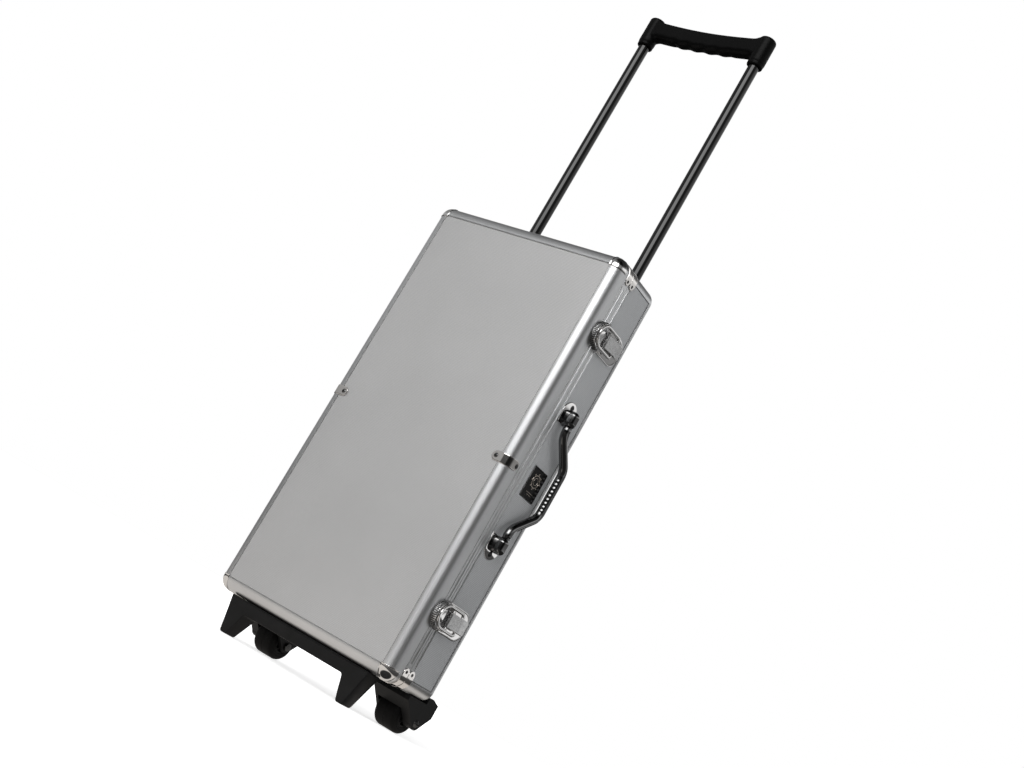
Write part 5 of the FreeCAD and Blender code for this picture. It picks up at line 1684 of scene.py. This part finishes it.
# What polished parts see, as (sine of the height above the horizon, brightness): to the left
# of the camera, behind it, and off to the side of the case.
LEFT_SKY = ((-1.0, 0.02), (-0.02, 0.02), (0.02, 0.04), (0.07, 0.24), (0.16, 0.38), (0.24, 0.48),
            (0.34, 0.46), (0.48, 0.28), (0.75, 0.26), (0.88, 0.14), (0.95, 0.02), (1.0, 0.02))
CAMERA_SKY = ((-1.0, 0.02), (0.0, 0.02), (0.09, 0.03), (0.20, 0.10), (0.27, 1.0), (0.32, 5.0),
              (0.58, 5.0), (0.66, 0.8), (0.75, 0.2), (0.9, 0.02), (1.0, 0.02))
SIDE_SKY = ((-1.0, 0.60), (0.0, 0.90), (0.055, 0.88), (0.085, 0.40), (0.17, 0.22), (0.27, 0.24),
            (0.32, 0.80), (0.46, 1.00), (0.56, 0.20), (0.7, 0.03), (1.0, 0.02))
# How much of each shows, as (compass angle in degrees, share).
LEFT_WEIGHT = ((-180, 0.9), (-120, 1.0), (-108, 0.9), (-100, 0.0), (100, 0.0), (180, 0.9))
CAMERA_WEIGHT = ((-180, 0.0), (-114, 0.0), (-103, 1.0), (-58, 1.0), (-48, 0.05), (-20, 0.03),
                 (0, 0.0), (180, 0.0))
SIDE_WEIGHT = ((-180, 0.0), (-40, 0.02), (-12, 0.08), (10, 1.0), (90, 1.0), (180, 0.0))


def ramp(tree, value, stops, low, high):
    """A grey level read off a list of stops along a value."""
    scale = tree.nodes.new("ShaderNodeMapRange")
    scale.inputs["From Min"].default_value = low
    scale.inputs["From Max"].default_value = high
    node = tree.nodes.new("ShaderNodeValToRGB")
    elements = node.color_ramp.elements
    for i, (place, level) in enumerate(stops):
        share = (place - low) / (high - low)
        if i == 0 or i == len(stops) - 1:
            element = elements[min(i, len(elements) - 1)]
            element.position = share
        else:
            element = elements.new(share)
        element.color = grey(level)
    tree.links.new(value, scale.inputs["Value"])
    tree.links.new(scale.outputs["Result"], node.inputs["Fac"])
    return node.outputs["Color"]


def scaled_ramp(tree, value, stops):
    """Colour ramps stop at 1, so bright stops are scaled down and back up."""
    top = max(level for place, level in stops)
    low = ramp(tree, value, [(place, level / top) for place, level in stops], -1.0, 1.0)
    return worked_out(tree, "MULTIPLY", low, top)


def worked_out(tree, operation, a, b):
    """The result of a math node on two values, each a number or a socket."""
    node = tree.nodes.new("ShaderNodeMath")
    node.operation = operation
    for socket, value in zip(node.inputs, (a, b)):
        if isinstance(value, (int, float)):
            socket.default_value = value
        else:
            tree.links.new(value, socket)
    return node.outputs[0]


def backdrop(tree, colour, strength=1.0):
    """A background of one colour, or of a colour that a socket gives."""
    node = tree.nodes.new("ShaderNodeBackground")
    node.inputs["Strength"].default_value = strength
    if isinstance(colour, tuple):
        node.inputs["Color"].default_value = colour
    else:
        tree.links.new(colour, node.inputs["Color"])
    return node.outputs[0]


def either(tree, choice, no, yes):
    """The second shader where choice is 1, else the first."""
    node = tree.nodes.new("ShaderNodeMixShader")
    tree.links.new(choice, node.inputs["Fac"])
    tree.links.new(no, node.inputs[1])
    tree.links.new(yes, node.inputs[2])
    return node.outputs[0]


def world():
    """White to the eye, an even glow for shading, and a graded studio for reflections."""
    sky = bpy.data.worlds.new("studio")
    sky.use_nodes = True
    tree = sky.node_tree
    tree.nodes.clear()
    coordinate = tree.nodes.new("ShaderNodeTexCoord")
    split = tree.nodes.new("ShaderNodeSeparateXYZ")
    tree.links.new(coordinate.outputs["Generated"], split.inputs[0])
    x, y, z = split.outputs
    compass = worked_out(tree, "ARCTAN2", y, x)
    seen = None
    skies = (LEFT_SKY, CAMERA_SKY, SIDE_SKY)
    for heights, weights in zip(skies, (LEFT_WEIGHT, CAMERA_WEIGHT, SIDE_WEIGHT)):
        by_angle = [(math.radians(a), b) for a, b in weights]
        weight = ramp(tree, compass, by_angle, -math.pi, math.pi)
        level = scaled_ramp(tree, z, heights)
        part = worked_out(tree, "MULTIPLY", level, weight)
        seen = part if seen is None else worked_out(tree, "ADD", seen, part)
    ray = tree.nodes.new("ShaderNodeLightPath").outputs
    glow = backdrop(tree, grey(1.0), AMBIENT)
    shading = either(tree, ray["Is Diffuse Ray"], backdrop(tree, seen), glow)
    all_rays = either(tree, ray["Is Camera Ray"], shading, backdrop(tree, grey(1.0)))
    out = tree.nodes.new("ShaderNodeOutputWorld")
    tree.links.new(all_rays, out.inputs["Surface"])
    bpy.context.scene.world = sky


# What polished parts see on the floor: a round pool of painted light, and a dark spot of painted
# shadow in front of the case's lower corner. Centres in metres (x, y), radii in metres.
LIGHT_POOL_CENTRE = (-0.35, -0.15)
LIGHT_POOL_EDGE = (0.60, 0.64)
SHADOW_SPOT_CENTRE = (0.175, -0.068)
SHADOW_SPOT_EDGE = (0.062, 0.075)
FLOOR_REACH = 60.0


def floor_sheet():
    """Pale studio floor: paper white to the eye, but in reflections dark apart from a painted pool of
    light with a painted shadow spot in it.
    """
    z = span("foot_bar")[0][2] * MM
    n = Nodes("floor_paper")
    grain = n.noise(60.0, 4.0)
    colour = n.mix(n.spread(grain, 0.0, 1.0), grey(0.74), grey(0.78))
    ray = n.make("ShaderNodeLightPath").outputs
    eye = ray["Is Camera Ray"]
    mirror = ray["Is Glossy Ray"]

    def distance(centre):
        inputs = {0: n.place, 1: (*centre, z)}
        return n.make("ShaderNodeVectorMath", inputs, operation="DISTANCE").outputs["Value"]

    away = n.make("ShaderNodeVectorMath", {0: n.place}, operation="LENGTH").outputs["Value"]
    to_eye = n.math("MULTIPLY", n.spread(away, 0.62, 1.2, 0.5, 1.2), eye)
    # Painted light: a glowing pool on the floor seen only in reflections, with a painted shadow spot
    # cut out of it.
    light_pool = n.spread(distance(LIGHT_POOL_CENTRE), 0.62, 0.02, *LIGHT_POOL_EDGE)
    glow = n.math("MULTIPLY", light_pool, n.spread(distance(SHADOW_SPOT_CENTRE), 0.0, 1.0, *SHADOW_SPOT_EDGE))
    strength = n.math("ADD", to_eye, n.math("MULTIPLY", glow, mirror))
    n.set(Roughness=0.9, Normal=n.bump(grain, 0.05, 0.0002))
    n.set(Base_Color=n.mix(mirror, colour, grey(0.02)))
    n.set(Emission_Color=n.mix(eye, grey(0.95, 0.06), grey(1.0)), Emission_Strength=strength)
    mesh = bpy.data.meshes.new("floor")
    corners = [(a * FLOOR_REACH, b * FLOOR_REACH, z) for a, b in ((-1, -1), (1, -1), (1, 1), (-1, 1))]
    mesh.from_pydata(corners, [], [(0, 1, 2, 3)])
    mesh.materials.append(n.material)
    linked("floor", mesh)


def studio():
    world()
    floor_sheet()
    camera()
    softbox("front_bank", (-1.6, -2.6, 1.6), (0, 0, 0.3), (5.5, 4.2), 60)
    softbox("camera_bank", (2.3, -2.6, 1.3), (0.1, 0, 0.4), (1.3, 0.85), 17)
    softbox("side_bank", (3.0, 1.4, 1.7), (0.1, 0, 0.3), (1.6, 1.8), 30)
    bpy.context.scene.view_settings.view_transform = "Standard"


case_parts()
fittings()
trolley_parts()
carriage_parts()
inside_parts()
studio()
